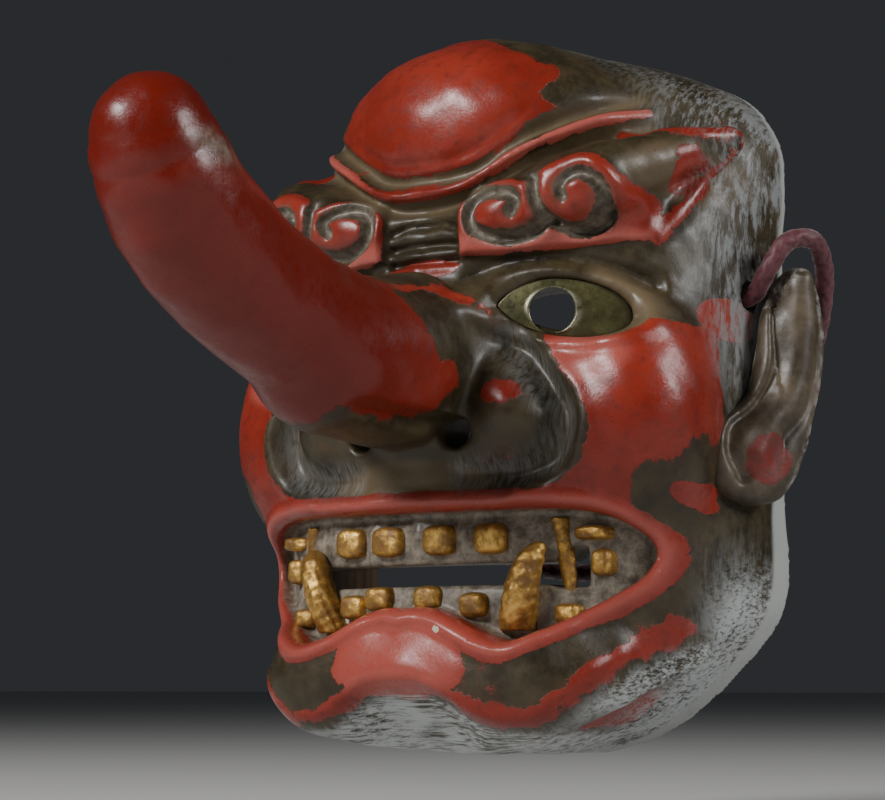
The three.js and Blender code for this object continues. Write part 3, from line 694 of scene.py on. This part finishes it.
# -------- materials
def lacquer():
    """Red lacquer worn through to brown, grey strokes at the hairline, chalky rim, dark wood inside."""
    n = Nodes("worn_lacquer")
    broad = n.noise(38, 9, 0.66, distortion=0.4)
    fine = n.noise(240, 6, 0.7)
    grain = n.noise(900, 4, 0.6)
    worn = n.plus(n.times(n.minus(broad, 0.5), 1.7), n.paint("red"))
    worn = n.plus(n.times(n.minus(fine, 0.5), 0.75), worn)
    red_share = n.span(worn, 0.46, 0.54)
    tone = n.noise(16, 5, 0.6)
    red = n.mix(n.span(tone, 0.3, 0.7), (0.175, 0.013, 0.006), (0.330, 0.036, 0.020))
    red = n.mix(n.span(fine, 0.46, 0.75, 0.0, 0.7), red, (0.095, 0.011, 0.006))
    # Painted highlight: a pale pinkish sheen mixed into the red lacquer.
    red = n.mix(n.times(n.paint("painted_highlight"), 0.75), red, (0.520, 0.130, 0.102))
    red = n.mix(n.times(n.paint("deep"), 0.85), red, (0.125, 0.0065, 0.0022))
    brown = n.mix(n.span(n.noise(60, 7, 0.7), 0.32, 0.70), (0.022, 0.0155, 0.0065), (0.064, 0.047, 0.021))
    brown = n.mix(n.span(worn, 0.30, 0.46, 0.0, 0.22), brown, (0.090, 0.018, 0.009))
    brown = n.mix(n.paint("worn"), brown, (0.155, 0.112, 0.062))
    color = n.mix(red_share, brown, red)
    gum = n.mix(n.span(fine, 0.35, 0.7), (0.105, 0.088, 0.066), (0.310, 0.265, 0.205))
    color = n.mix(n.paint("gum"), color, gum)
    hair = n.noise(1, 4, 0.75, stretch=(950, 240, 85), turn=(0.5, 0.0, 0.0))
    tuft = n.noise(28, 5, 0.6)
    beard = n.noise(1, 5, 0.75, stretch=(70, 380, 900), distortion=0.2)
    hair = n.plus(n.times(hair, n.minus(1.0, n.paint("under"))),
                  n.times(beard, n.paint("under")))
    streak = n.plus(n.times(hair, 0.8), n.times(tuft, 0.45))
    streak = n.plus(streak, n.times(n.paint("under"), 0.03))
    # The pale layer is painted hair strokes; beside the nose's fold it also carries a painted highlight.
    strokes = n.times(n.paint("pale"), n.span(streak, 0.54, 0.72))
    stroke = n.mix(n.paint("under"), (0.255, 0.265, 0.265), (0.45, 0.48, 0.48))
    color = n.mix(strokes, color, stroke)
    chalk = n.times(n.paint("chalk"), n.span(broad, 0.28, 0.46))
    color = n.mix(chalk, color, (0.42, 0.44, 0.42))
    chip = n.span(n.cells(130), 0.06, 0.1, 1.0, 0.0)
    chip = n.times(chip, n.times(n.paint("edge"), n.span(fine, 0.55, 0.6)))
    loss = n.plus(n.paint("loss"), n.times(n.minus(fine, 0.5), 0.9))
    chip = n.plus(chip, n.span(loss, 0.50, 0.56), clamp=True)
    color = n.mix(chip, color, (0.62, 0.56, 0.44))
    wood = n.noise(1, 6, 0.6, stretch=(260, 260, 14))
    inner = n.mix(n.span(wood, 0.35, 0.68), (0.045, 0.024, 0.012), (0.105, 0.062, 0.032))
    color = n.mix(n.paint("inside"), color, inner)
    rough = n.span(fine, 0.3, 0.75, 0.24, 0.44)
    rough = n.plus(rough, n.times(n.minus(1.0, red_share), 0.12))
    rough = n.plus(rough, n.times(n.paint("inside"), 0.3), clamp=True)
    relief = n.plus(n.times(fine, 0.7), n.times(grain, 0.3))
    relief = n.plus(relief, n.times(red_share, 0.5))
    relief = n.minus(relief, n.times(chip, 0.8))
    normal = n.bump(relief, 0.5, 0.00045)
    normal = n.bump(hair, n.times(n.paint("pale"), 0.6), 0.0004, normal)
    return n.finish(color, rough, normal, Specular_IOR_Level=0.38, Coat_Weight=0.10, Coat_Roughness=0.2)


def ear_lacquer():
    n = Nodes("ear_lacquer")
    broad = n.noise(55, 8, 0.66)
    fine = n.noise(260, 6, 0.7)
    worn = n.plus(n.times(n.minus(broad, 0.5), 2.2), n.paint("red"))
    red_share = n.span(worn, 0.45, 0.56)
    brown = n.mix(n.span(broad, 0.35, 0.66), (0.040, 0.027, 0.014), (0.130, 0.098, 0.062))
    color = n.mix(red_share, brown, n.mix(n.span(fine, 0.35, 0.65), (0.200, 0.014, 0.007), (0.105, 0.016, 0.009)))
    pale = n.times(n.paint("pale"), n.span(fine, 0.42, 0.62))
    color = n.mix(pale, color, (0.36, 0.36, 0.33))
    normal = n.bump(fine, 0.5, 0.0004)
    return n.finish(color, n.span(fine, 0.3, 0.7, 0.36, 0.6), normal, Coat_Weight=0.15, Coat_Roughness=0.3)


def tooth_gilt():
    n = Nodes("tooth_gilt")
    broad = n.noise(120, 7, 0.7)
    fine = n.noise(700, 5, 0.7)
    leaf = n.mix(n.span(broad, 0.36, 0.66), (0.30, 0.135, 0.020), (0.80, 0.50, 0.14))
    soot = n.span(n.plus(broad, n.times(fine, 0.5)), 0.60, 0.86, 0.8, 0.0)
    color = n.mix(n.times(soot, 0.65), leaf, (0.055, 0.036, 0.018))
    metal = n.span(soot, 0.2, 0.8, 0.85, 0.1)
    normal = n.bump(n.plus(broad, n.times(fine, 0.4)), 0.8, 0.0007)
    return n.finish(color, n.span(fine, 0.3, 0.7, 0.26, 0.5), normal, metal)


def eye_gilt():
    n = Nodes("eye_gilt")
    broad = n.noise(70, 6, 0.6)
    fine = n.noise(420, 6, 0.7)
    base = n.mix(n.span(broad, 0.35, 0.65), (0.056, 0.055, 0.021), (0.135, 0.126, 0.050))
    # Painted highlight: a lighter ring round the pupil hole.
    rim = n.times(n.paint("rim"), n.span(fine, 0.3, 0.5))
    color = n.mix(rim, base, (0.26, 0.25, 0.17))
    # Painted shade: the plate darkens along its edge, where it tucks under the lid.
    color = n.mix(n.times(n.paint("painted_lid_shade"), n.span(broad, 0.3, 0.6)), color, (0.05, 0.04, 0.025))
    normal = n.bump(fine, 0.35, 0.0003)
    return n.finish(color, n.span(fine, 0.3, 0.7, 0.22, 0.42), normal, 0.55)


def bamboo():
    n = Nodes("bamboo")
    fibre = n.noise(1, 4, 0.6, stretch=(1400, 90, 1400))
    color = n.mix(n.span(fibre, 0.35, 0.65), (0.20, 0.13, 0.05), (0.42, 0.31, 0.15))
    return n.finish(color, n.span(fibre, 0.3, 0.7, 0.45, 0.7), n.bump(fibre, 0.4, 0.0003))


def cord_silk():
    n = Nodes("cord_silk")
    strand = n.noise(900, 4, 0.6)
    color = n.mix(n.span(strand, 0.3, 0.7), (0.035, 0.006, 0.010), (0.120, 0.022, 0.032))
    # Painted highlight: the raised strands are lighter, as if lit on their crowns.
    color = n.mix(n.times(n.paint("high"), 0.5), color, (0.17, 0.045, 0.055))
    return n.finish(color, 0.55, n.bump(strand, 0.5, 0.0002), Sheen_Weight=0.4, Sheen_Roughness=0.4)


LACQUER = lacquer()
EAR_LACQUER = ear_lacquer()
TOOTH_GILT = tooth_gilt()
EYE_GILT = eye_gilt()
BAMBOO = bamboo()
CORD_SILK = cord_silk()


# -------- cord
HALF_ROUTE = [
    (77.6, -22.5, 28), (91, -22.5, 28), (98.5, -25.5, 35.5), (104.5, -22, 45.5), (109.5, -13, 47), (109, -3.5, 40),
    (105, 4, 28), (98, 10, 13), (85, 14, 54 - CORD_SAG), (64, 17, 26 - CORD_SAG), (33, 19, 6 - CORD_SAG),
]


def cord_route():
    other = [(-x, y, z) for x, y, z in reversed(HALF_ROUTE)]
    return smooth_route([*HALF_ROUTE, (0, 19, -CORD_SAG), *other], 0.6)


def smooth_route(points, step):
    """Centripetal Catmull-Rom curve through the points, at about one point every step."""
    p = np.array(points, float)
    ends = (2 * p[0] - p[1], 2 * p[-1] - p[-2])
    p = np.vstack([ends[0], p, ends[1]])
    line = []
    for a, b, c, d in zip(p, p[1:], p[2:], p[3:]):
        knots = [0.0]
        for q, r in ((a, b), (b, c), (c, d)):
            knots.append(knots[-1] + math.sqrt(np.linalg.norm(r - q)))
        t0, t1, t2, t3 = knots
        count = max(2, int(np.linalg.norm(c - b) / step))
        t = np.linspace(t1, t2, count, endpoint=False)[:, None]
        a1 = (t1 - t) / (t1 - t0) * a + (t - t0) / (t1 - t0) * b
        a2 = (t2 - t) / (t2 - t1) * b + (t - t1) / (t2 - t1) * c
        a3 = (t3 - t) / (t3 - t2) * c + (t - t2) / (t3 - t2) * d
        b1 = (t2 - t) / (t2 - t0) * a1 + (t - t0) / (t2 - t0) * a2
        b2 = (t3 - t) / (t3 - t1) * a2 + (t - t1) / (t3 - t1) * a3
        line.append((t2 - t) / (t2 - t1) * b1 + (t - t1) / (t2 - t1) * b2)
    return np.vstack([*line, p[-2][None]])


def braid(name, path, radius, strands=4, pitch=6.5, around=28):
    """A braided tube: two crossing sets of strands, each a raised band, over and under by turns."""
    path = np.asarray(path, float)
    ahead = np.gradient(path, axis=0)
    ahead /= np.linalg.norm(ahead, axis=1, keepdims=True)
    side = np.cross(ahead[0], (0.0, 0.3, 1.0))
    sides = []
    for t in ahead:
        side = side - t * side.dot(t)
        side = side / np.linalg.norm(side)
        sides.append(side)
    sides = np.array(sides)
    ups = np.cross(ahead, sides)
    travel = np.concatenate([[0], np.cumsum(np.linalg.norm(np.diff(path, axis=0), axis=1))])
    angle = np.arange(around) / around * 2 * math.pi
    left = strands * angle[None, :] / 2 + travel[:, None] / pitch * math.pi
    right = strands * angle[None, :] / 2 - travel[:, None] / pitch * math.pi
    over = np.sin(left) * np.sin(right) > 0
    height = np.where(over, np.abs(np.cos(left)), np.abs(np.cos(right)))
    core, swell = 0.86, 0.17
    reach = radius * (core + swell * np.sqrt(height))
    ring = np.cos(angle)[None, :, None] * sides[:, None] + np.sin(angle)[None, :, None] * ups[:, None]
    points = (path[:, None] + ring * reach[..., None]).reshape(-1, 3)
    faces = []
    for i in range(len(path) - 1):
        for j in range(around):
            k = (j + 1) % around
            faces.append((i * around + j, (i + 1) * around + j, (i + 1) * around + k, i * around + k))
    first, last = len(points), len(points) + 1
    points = np.vstack([points, path[0], path[-1]])
    end = (len(path) - 1) * around
    for j in range(around):
        k = (j + 1) % around
        faces.append((first, j, k, k))
        faces.append((last, end + k, end + j, end + j))
    obj = mesh_from_lists(name, points, faces)
    # The strands' height also sets a painted highlight on their crowns.
    paint_layer(obj, "high", np.concatenate([height.ravel(), [0.5, 0.5]]))
    return obj


def mesh_from_lists(name, points, faces):
    """A mesh in which a face may be a triangle, written as a quad with a repeated corner."""
    mesh = bpy.data.meshes.new(name)
    clean = [tuple(dict.fromkeys(face)) for face in faces]
    mesh.from_pydata([tuple(p) for p in np.asarray(points) * MM], [], clean)
    mesh.validate()
    mesh.shade_smooth()
    return add_object(name, mesh)


def dress(obj, material, slot, *nodes):
    """Gives a piece its material and body, and hides the CAD nodes that it stands for. The slot is not used."""
    obj.data.materials.clear()
    obj.data.materials.append(material)
    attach(obj, "root")
    if nodes:
        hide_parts(*nodes)


def make_knot(side):
    """A stopper knot: the cord's own braid tied in a tight overhand knot."""
    low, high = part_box(f"cord_knot_{side}")
    centre = np.array([(a + b) / 2 / MM for a, b in zip(low, high)])
    t = np.linspace(0, 2 * math.pi, 120)
    knot = np.stack([
        0.8 * np.cos(3 * t) * 1.7,
        (np.sin(t) + 1.6 * np.sin(2 * t)) * 1.45,
        (np.cos(t) - 1.6 * np.cos(2 * t)) * 1.45,
    ], axis=1)
    obj = braid(f"stopper_knot_{side}", knot + centre, 2.3, pitch=4.5, around=16)
    dress(obj, CORD_SILK, "cord_braid", f"cord_knot_{side}")
    return obj


def make_cord():
    route = cord_route()
    obj = braid("head_cord", route, CORD_RADIUS)
    dress(obj, CORD_SILK, "cord_braid", "cord")
    knots = [make_knot(side) for side in ("left", "right")]


make_cord()


# -------- paint layout of the face
def patch(x, z, centre, radii):
    """1 in the middle of a soft elliptical patch, 0 outside."""
    r = np.hypot((x - centre[0]) / radii[0], (z - centre[1]) / radii[1])
    return 1 - ease(0.75, 1.25, r)


FOREHEAD_RED = rounded([
    (-14, 126), (12, 119), (32, 109), (43, 102), (40, 94), (45, 89), (37, 83), (33, 76), (22, 68), (8, 64), (-14, 64),
    (-14, 126),
], 40)
CHEEK_RED = rounded([
    (46, 10), (53, 1), (61, -8), (66, -18), (65, -27), (61, -34), (52, -40), (30, -41), (-14, -41), (-14, -52),
    (60, -52), (84, -56), (86, -40), (90, -26), (98, -10), (98, 12), (84, 14), (70, 8), (56, 11), (46, 10),
], 60)
CHIN_RED = rounded([(-14, -76), (8, -77), (17, -84), (25, -93), (22, -104), (-14, -107), (-14, -76)], 30)
# Spots as (centre, radii) in the front view. SIDE_RED is in the side view, as (-y, z).
BARE_JOWL = (84, -52), (9, 21)
JOWL_SPOT = (88, -43), (3.5, 4.5)
SIDE_RED = (35, 18), (16, 7)
BRIDGE_RED = (0, 35.5), (15, 3.2)
# The cheek spot is a painted highlight on the top of the cheek, under the eye.
CHEEK_HIGHLIGHT = (60, 2), (17, 9)
PHILTRUM = (0, -38), (30, 8)
WORN_TEMPLE = (82, 66), (9, 10)
NOSE_STREAK = [(20, -134, -9, 0), (28, -110, -5, 0), (34, -99, -8, 0), (39, -97, -8, 0)]
BRIDGE_STREAK = [(14, -131, 22, 0), (17, -103, 25, 0), (28, -88, 17, 0)]


def most(*values):
    """The largest of several values at each point."""
    return functools.reduce(np.maximum, values)


def covered(x, z, outline, soft=3.0):
    """1 inside the outline, 0 outside, with a soft edge."""
    return 1 - ease(-soft, soft, inside_outline(x, z, outline))


def paint_face(obj, p):
    x, y, z = p.T
    near_x = np.abs(x)
    front = ease(36, 50, -y)
    rim = mouth_outline(near_x, z)
    red = np.zeros(len(p))
    for outline in (FOREHEAD_RED, CHEEK_RED, CHIN_RED):
        red = np.maximum(red, covered(near_x, z, outline) * front)
    red = red * (1 - patch(near_x, z, *BARE_JOWL))
    red = most(red, patch(near_x, z, *JOWL_SPOT) * front, patch(-y, z, *SIDE_RED) * (near_x > 70))
    band = covered(near_x, z, BROW_BAND, 1.5) * front
    grooves = np.zeros(len(p))
    for line in CURLS:
        grooves = np.maximum(grooves, ridge(line_gap(near_x, z, line)[0], 2.3) * front)
    red = np.maximum(red, band * (1 - 1.5 * grooves))
    fold_gap = line_gap(near_x, z, WRINKLES[0][0])[0]
    red = most(red, 0.95 * ridge(fold_gap, 2.2) * front, 0.9 * patch(near_x, z, *BRIDGE_RED) * front)
    furrow = np.minimum(line_gap(near_x, z, WRINKLES[1][0])[0], line_gap(near_x, z, WRINKLES[2][0])[0])
    furrow = ridge(furrow, 3.0) * (fold_gap > 2) * front
    red = red * (1 - 0.9 * furrow)
    # Painted highlight: a pinkish sheen on the brow band's lower edge, the outer forehead fold, the top of the cheek,
    # the chin and the mouth's edge.
    painted_highlight = band * ease(-1, 4, 47 - z) + ridge(fold_gap, 3) * ease(18, 40, near_x) * front
    painted_highlight = most(
        painted_highlight, 0.8 * patch(near_x, z, *CHEEK_HIGHLIGHT) * front, 0.6 * covered(near_x, z, CHIN_RED, 5) * front,
        0.7 * ridge(rim - 3, 2.4) * front,
    )
    flame = chain(near_x, y, z, FLAME)
    flame_root = np.sqrt((near_x - 80) ** 2 + (y + 50) ** 2 + (z - 67) ** 2)
    lips = ease(-1, 0.5, rim) * (1 - ease(5, 8, rim)) * front
    jaw_line = ridge(jaw_gap(near_x, z), 3.4) * ease(26, 40, -y) * (1 - ease(80, 88, near_x))
    red = most(red, 0.95 * ridge(flame, 3.2), 0.50 * (1 - ease(8, 13, flame_root)), lips, 0.9 * jaw_line)
    root_end = 112 + 0.6 * np.maximum(z + 8, 0)
    nose = ease(-6, 6, -y - root_end) * (1 - 0.9 * ease(15, 22, -z) * (1 - ease(146, 158, -y)))
    above_lips = z > -45
    red = np.where((-y > 104) & above_lips, nose, red)
    wing_streak = ridge(chain(near_x, y, z, NOSE_STREAK), 5)
    streaks = np.maximum(wing_streak, 0.8 * ridge(chain(near_x, y, z, BRIDGE_STREAK), 3))
    red = np.maximum(red, 0.95 * streaks)
    in_mouth = ease(-0.8, 0.4, -rim) * (gum_field(near_x, y) < 5) * front
    side = 1 - ease(30, 58, -y)
    pale = side * ease(-34, 20, z) * (1 - 0.5 * ease(84, 108, z)) + side * ease(48, 80, -z)
    under = ease(-1, 4, -3 - jaw_gap(near_x, z)) * (1 - ease(96, 104, -y)) * ease(60, 72, -z)
    # The fold term is a painted highlight: silvery-grey touches along the ridge beside the fold.
    pale = most(pale, under, 0.35 * ridge(line_gap(near_x, z, FOLD)[0] - 3, 3) * front)
    inside = (hollow_field(near_x, y, z) < 0.8) & (y < -0.4)
    rim_width = 5 + 9 * ease(0, 70, -z)
    chalk = ease(-rim_width, 3 - rim_width, y) * (hollow_field(near_x, y, z) > 1.2)
    philtrum = patch(near_x, z, *PHILTRUM) * front * (near_x < 44)
    bare = np.maximum(ridge(np.hypot(x + 32, 1.6 * (z + 81.5)), 2.6), ridge(np.hypot(x - 16, 1.4 * (z + 85.5)), 2.4))
    a, b, c = eye_local(near_x, y, z)
    outer_lid = ridge(almond_gap(a, c, 0) - 3, 3) * ease(4, 14, a) * (np.abs(b) < 16)
    worn = most(0.7 * philtrum, 0.6 * patch(near_x, z, *WORN_TEMPLE), 0.8 * furrow, outer_lid)
    paint_layer(obj, "red", 0.14 + 0.80 * np.clip(red, 0, 1))
    paint_layer(obj, "deep", ease(104, 140, -y) * above_lips)
    paint_layer(obj, "gum", np.maximum(in_mouth, 0.8 * grooves))
    paint_layer(obj, "pale", pale)
    paint_layer(obj, "under", np.maximum(under, side * ease(52, 76, -z)))
    paint_layer(obj, "inside", inside.astype(float))
    paint_layer(obj, "chalk", chalk)
    paint_layer(obj, "worn", worn)
    paint_layer(obj, "painted_highlight", np.clip(painted_highlight, 0, 1))
    paint_layer(obj, "loss", bare * front)
    paint_layer(obj, "edge", ridge(rim - 3, 2) * ease(78, 82, -z) * front)


def make_face():
    low = (-102, -252, -132)
    high = (102, 3, 126)
    points, quads = field_surface(mask_field, low, high, VOXEL)
    points = settle(mask_field, points)
    obj = new_mesh("lacquered_face_and_nose", points, quads)
    paint_face(obj, points)
    dress(obj, LACQUER, "face_lacquer", "mask_shell", "nose")


make_face()


# -------- ears
EAR_OUTLINE = rounded([
    (-8, -28), (-7, -36), (-2, -41), (5, -43.5), (13, -44), (22.5, -40), (30, -24), (34.5, -9.5), (37.2, 4),
    (36.8, 25), (33.5, 36), (27.5, 38.5), (21.5, 33.5), (16.5, 25), (14, 17.5), (12.5, 6), (9.8, -5), (5, -10.5),
    (-0.5, -14.5), (-6.5, -20.5), (-8, -28),
], 60)
EAR_FURROW = rounded([(20, 27), (18.5, 18), (18, 6), (15, -5), (9, -13), (1, -19), (-1, -27), (3, -35)])
EAR_BAND = rounded([(27, 33), (27.5, 18), (26, 3), (22, -9), (14, -18), (9, -27)])


def ear_local(x, y, z):
    """Out along the ear, out of its front and up, from the ear's root."""
    dx, dy = x - EAR_ROOT[0], y - EAR_ROOT[1]
    cos, sin = math.cos(EAR_TURN), math.sin(EAR_TURN)
    return dx * cos + dy * sin, dx * sin - dy * cos, z


def ear_field(x, y, z):
    s, b, c = ear_local(x, y, z)
    edge = inside_outline(s, c, EAR_OUTLINE)
    slab = np.maximum(b - EAR_FRONT, EAR_BACK - b)
    f = smooth_max(edge, slab, 8)
    relief = 2.6 * ridge(line_gap(s, c, EAR_FURROW)[0], 2.4) - 1.6 * ridge(line_gap(s, c, EAR_BAND)[0], 4)
    relief += 1.2 * ridge(line_gap(s, c, EAR_BAND)[0] - 6, 1.8) * (s > 18)
    return f + np.where(b > -5, relief, 0) + 0.3 * uneven(x, y, z)


def make_ears():
    points, quads = field_surface(ear_field, (80, -62, -50), (120, 2, 46), EAR_VOXEL)
    points = settle(ear_field, points)
    s, b, c = ear_local(*points.T)
    edge = inside_outline(s, c, EAR_OUTLINE)
    red = 0.16 + 0.62 * patch(s, c, (13, -29), (9, 9)) * (b > -3)
    pale = np.clip(ease(-4.5, -1, edge) * (s > 20) * 0.8 + (b < -6) * 0.9, 0, 1)
    for side, sign in SIDES:
        shape = points * np.array([sign, 1, 1])
        obj = new_mesh(f"carved_ear_{side}", shape, quads if sign > 0 else quads[:, ::-1])
        paint_layer(obj, "red", red)
        paint_layer(obj, "pale", pale)
        dress(obj, EAR_LACQUER, "ear_lacquer", f"ear_{side}")


make_ears()


# -------- eye plates
def almond_edge(angle):
    """A point of the eye's outline, counted round its middle."""
    along, lift = EYE_LENGTH / 2 * np.cos(angle), np.sin(angle)
    power = np.where(along < 0, 1.6, 0.9)
    high = EYE_HEIGHT * np.where(lift > 0, EYE_RISE, 1 - EYE_RISE)
    return along, np.sign(lift) * high * np.abs(lift) ** power + EYE_SLANT * along - EYE_SINK


def make_eye(side, sign):
    around, rings = 96, 22
    angle = np.arange(around) / around * 2 * math.pi
    outer = np.stack(almond_edge(angle), axis=1)
    inner = np.stack([PUPIL_SHIFT + PUPIL_RADIUS * np.cos(angle), PUPIL_RADIUS * np.sin(angle)], axis=1)
    share = np.linspace(0, 1, rings)[:, None, None]
    flat = inner[None] * (1 - share) + outer[None] * share
    u, v = flat[..., 0], flat[..., 1]
    dome = PLATE_DOME * (1 - (u / 25) ** 2) * (1 - (v / 12) ** 2)
    from_pupil = share[..., 0] * 12 - 0.7
    lip = 0.35 * ridge(from_pupil, 0.7)
    front = np.stack([u, v, dome - PLATE_SINK + lip], axis=-1)
    back = front - np.array([0, 0, PLATE_THICKNESS])
    local = np.concatenate([front, back[::-1]]).reshape(-1, 3)
    cos, sin = math.cos(EYE_TURN), math.sin(EYE_TURN)
    a, c, b = local.T
    x = EYE_CENTRE[0] + a * cos + b * sin
    y = EYE_CENTRE[1] + a * sin - b * cos
    points = np.stack([sign * x, y, EYE_CENTRE[2] + c], axis=1)
    total = 2 * rings
    faces = []
    for i in range(total):
        for j in range(around):
            k = (j + 1) % around
            i2 = (i + 1) % total
            quad = (i * around + j, i2 * around + j, i2 * around + k, i * around + k)
            faces.append(quad if sign > 0 else quad[::-1])
    obj = mesh_from_lists(f"gilt_eye_{side}", points, faces)
    # Painted highlight: a lighter ring on the plate's front, round the pupil hole.
    pupil_rim_highlight = np.broadcast_to(ridge(from_pupil, 0.8), u.shape)
    # Painted shade: darker towards the plate's edge, where it tucks under the lid.
    lid_shade_share = np.broadcast_to(ease(0.82, 1.0, share[..., 0]), u.shape)
    paint_layer(obj, "rim", np.concatenate([pupil_rim_highlight, 0 * pupil_rim_highlight]).ravel())
    paint_layer(obj, "painted_lid_shade", np.concatenate([lid_shade_share, lid_shade_share[::-1]]).ravel())
    dress(obj, EYE_GILT, "eye_gilt", f"eye_plate_{side}")


for eye_side, eye_sign in SIDES:
    make_eye(eye_side, eye_sign)


# -------- teeth
def lump(obj_name, box_name, squareness, seed):
    """A hand-made cap: a rounded block that fills its node's box, with small dents."""
    low, high = (np.array(c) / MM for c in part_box(box_name))
    centre, half = (low + high) / 2, (high - low) / 2
    columns, rows = 40, 24
    points = []
    for i in range(rows + 1):
        lat = -math.pi / 2 + math.pi * i / rows
        for j in range(columns):
            lon = 2 * math.pi * j / columns
            d = np.array([math.cos(lat) * math.cos(lon), math.cos(lat) * math.sin(lon), math.sin(lat)])
            size = (np.abs(d) ** squareness).sum() ** (1 / squareness)
            points.append(d / size)
    p = np.array(points)
    phase, depth = seed * 1.7, 0.018
    dents = np.sin(p[:, 0] * 5 + phase) * np.sin(p[:, 2] * 6 - phase) + 0.6 * np.sin(p[:, 1] * 9 + 2 * phase)
    p = p * (1 - depth * (dents + 1.6))[:, None]
    faces = []
    for i in range(rows):
        for j in range(columns):
            k = (j + 1) % columns
            faces.append((i * columns + j, i * columns + k, (i + 1) * columns + k, (i + 1) * columns + j))
    obj = mesh_from_lists(obj_name, centre + p * half, faces)
    weld(obj)
    return obj


def weld(obj):
    """Joins the points that lie on each other."""
    work = bmesh.new()
    work.from_mesh(obj.data)
    bmesh.ops.remove_doubles(work, verts=work.verts, dist=1e-6)
    work.to_mesh(obj.data)
    work.free()
    obj.data.shade_smooth()


CAPS = [
    "upper_incisor_inner", "upper_incisor_outer", "upper_premolar", "corner_tooth",
    "lower_incisor_inner", "lower_incisor_outer", "lower_premolar",
]
for index, cap in enumerate(CAPS):
    for cap_side in ("left", "right"):
        seed = index * 2 + (cap_side == "right")
        tooth = lump(f"gilt_{cap}_{cap_side}", f"{cap}_{cap_side}", 3.6, seed)
        dress(tooth, TOOTH_GILT, "tooth_gilt", f"{cap}_{cap_side}")


def make_fang(name):
    """A fang cut by hand: the plain solid, rounded over and then dented."""
    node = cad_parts[name]
    obj = add_object(f"gilt_{name}", node.data.copy())
    obj.data.transform(node.matrix_world)
    weld(obj)
    soften = obj.modifiers.new("soften", "REMESH")
    soften.mode = "VOXEL"
    soften.voxel_size = FANG_VOXEL * MM
    smooth = obj.modifiers.new("smooth", "SMOOTH")
    smooth.iterations = 14
    built = bpy.data.meshes.new_from_object(obj.evaluated_get(bpy.context.evaluated_depsgraph_get()))
    obj.modifiers.clear()
    obj.data = built
    obj.data.shade_smooth()
    points = np.empty(len(built.vertices) * 3)
    built.vertices.foreach_get("co", points)
    points = points.reshape(-1, 3) / MM
    x, y, z = points.T
    middle = points.mean(axis=0)
    dents = np.sin(1.1 * x + 0.5 * z) * np.sin(0.45 * z + y) + 0.5 * np.sin(1.9 * z - 0.8 * x)
    outward = points - middle
    outward[:, 2] = 0
    points -= 0.035 * outward * (dents[:, None] + 1.5)
    built.vertices.foreach_set("co", (points * MM).ravel())
    built.update()
    dress(obj, TOOTH_GILT, "tooth_gilt", name)


def make_carried_nodes():
    """Dowels and the peg keep their turned shape and only get their material."""
    for name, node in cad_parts.items():
        if "dowel" in name or "peg" in name:
            node.data.materials.clear()
            node.data.materials.append(BAMBOO)


for fang in ("lower_fang_left", "lower_fang_right", "upper_fang_left", "upper_fang_right"):
    make_fang(fang)
make_carried_nodes()


# -------- studio
def make_studio():
    bpy.ops.mesh.primitive_plane_add(size=30, location=(0, 0, CAD_BOX[0][2] - 0.03))
    floor = bpy.context.object
    floor.name = "studio_floor"
    n = Nodes("floor_paper")
    color = n.mix(n.noise(3, 3, 0.5), (0.62, 0.61, 0.59), (0.68, 0.67, 0.65))
    floor.data.materials.append(n.finish(color, 0.9))
    world = bpy.data.worlds.new("studio")
    bpy.context.scene.world = world
    world.use_nodes = True
    background = world.node_tree.nodes["Background"]
    background.inputs["Color"].default_value = (0.80, 0.86, 0.95, 1)
    background.inputs["Strength"].default_value = 0.035
    # name, place and width in metres, power in watts
    for name, place, size, power in [
        ("key_light", (-0.42, -1.4, 0.85), 0.45, 26),
        ("side_light", (1.5, 0.15, 0.75), 0.5, 15),
        ("low_light", (0.6, -0.9, -0.5), 0.5, 8),
    ]:
        data = bpy.data.lights.new(name, "AREA")
        data.size = size
        data.energy = power
        lamp = add_object(name, data)
        lamp.location = place
        lamp.rotation_euler = (Vector(place) - LIGHT_TARGET).to_track_quat("Z", "Y").to_euler()


make_studio()
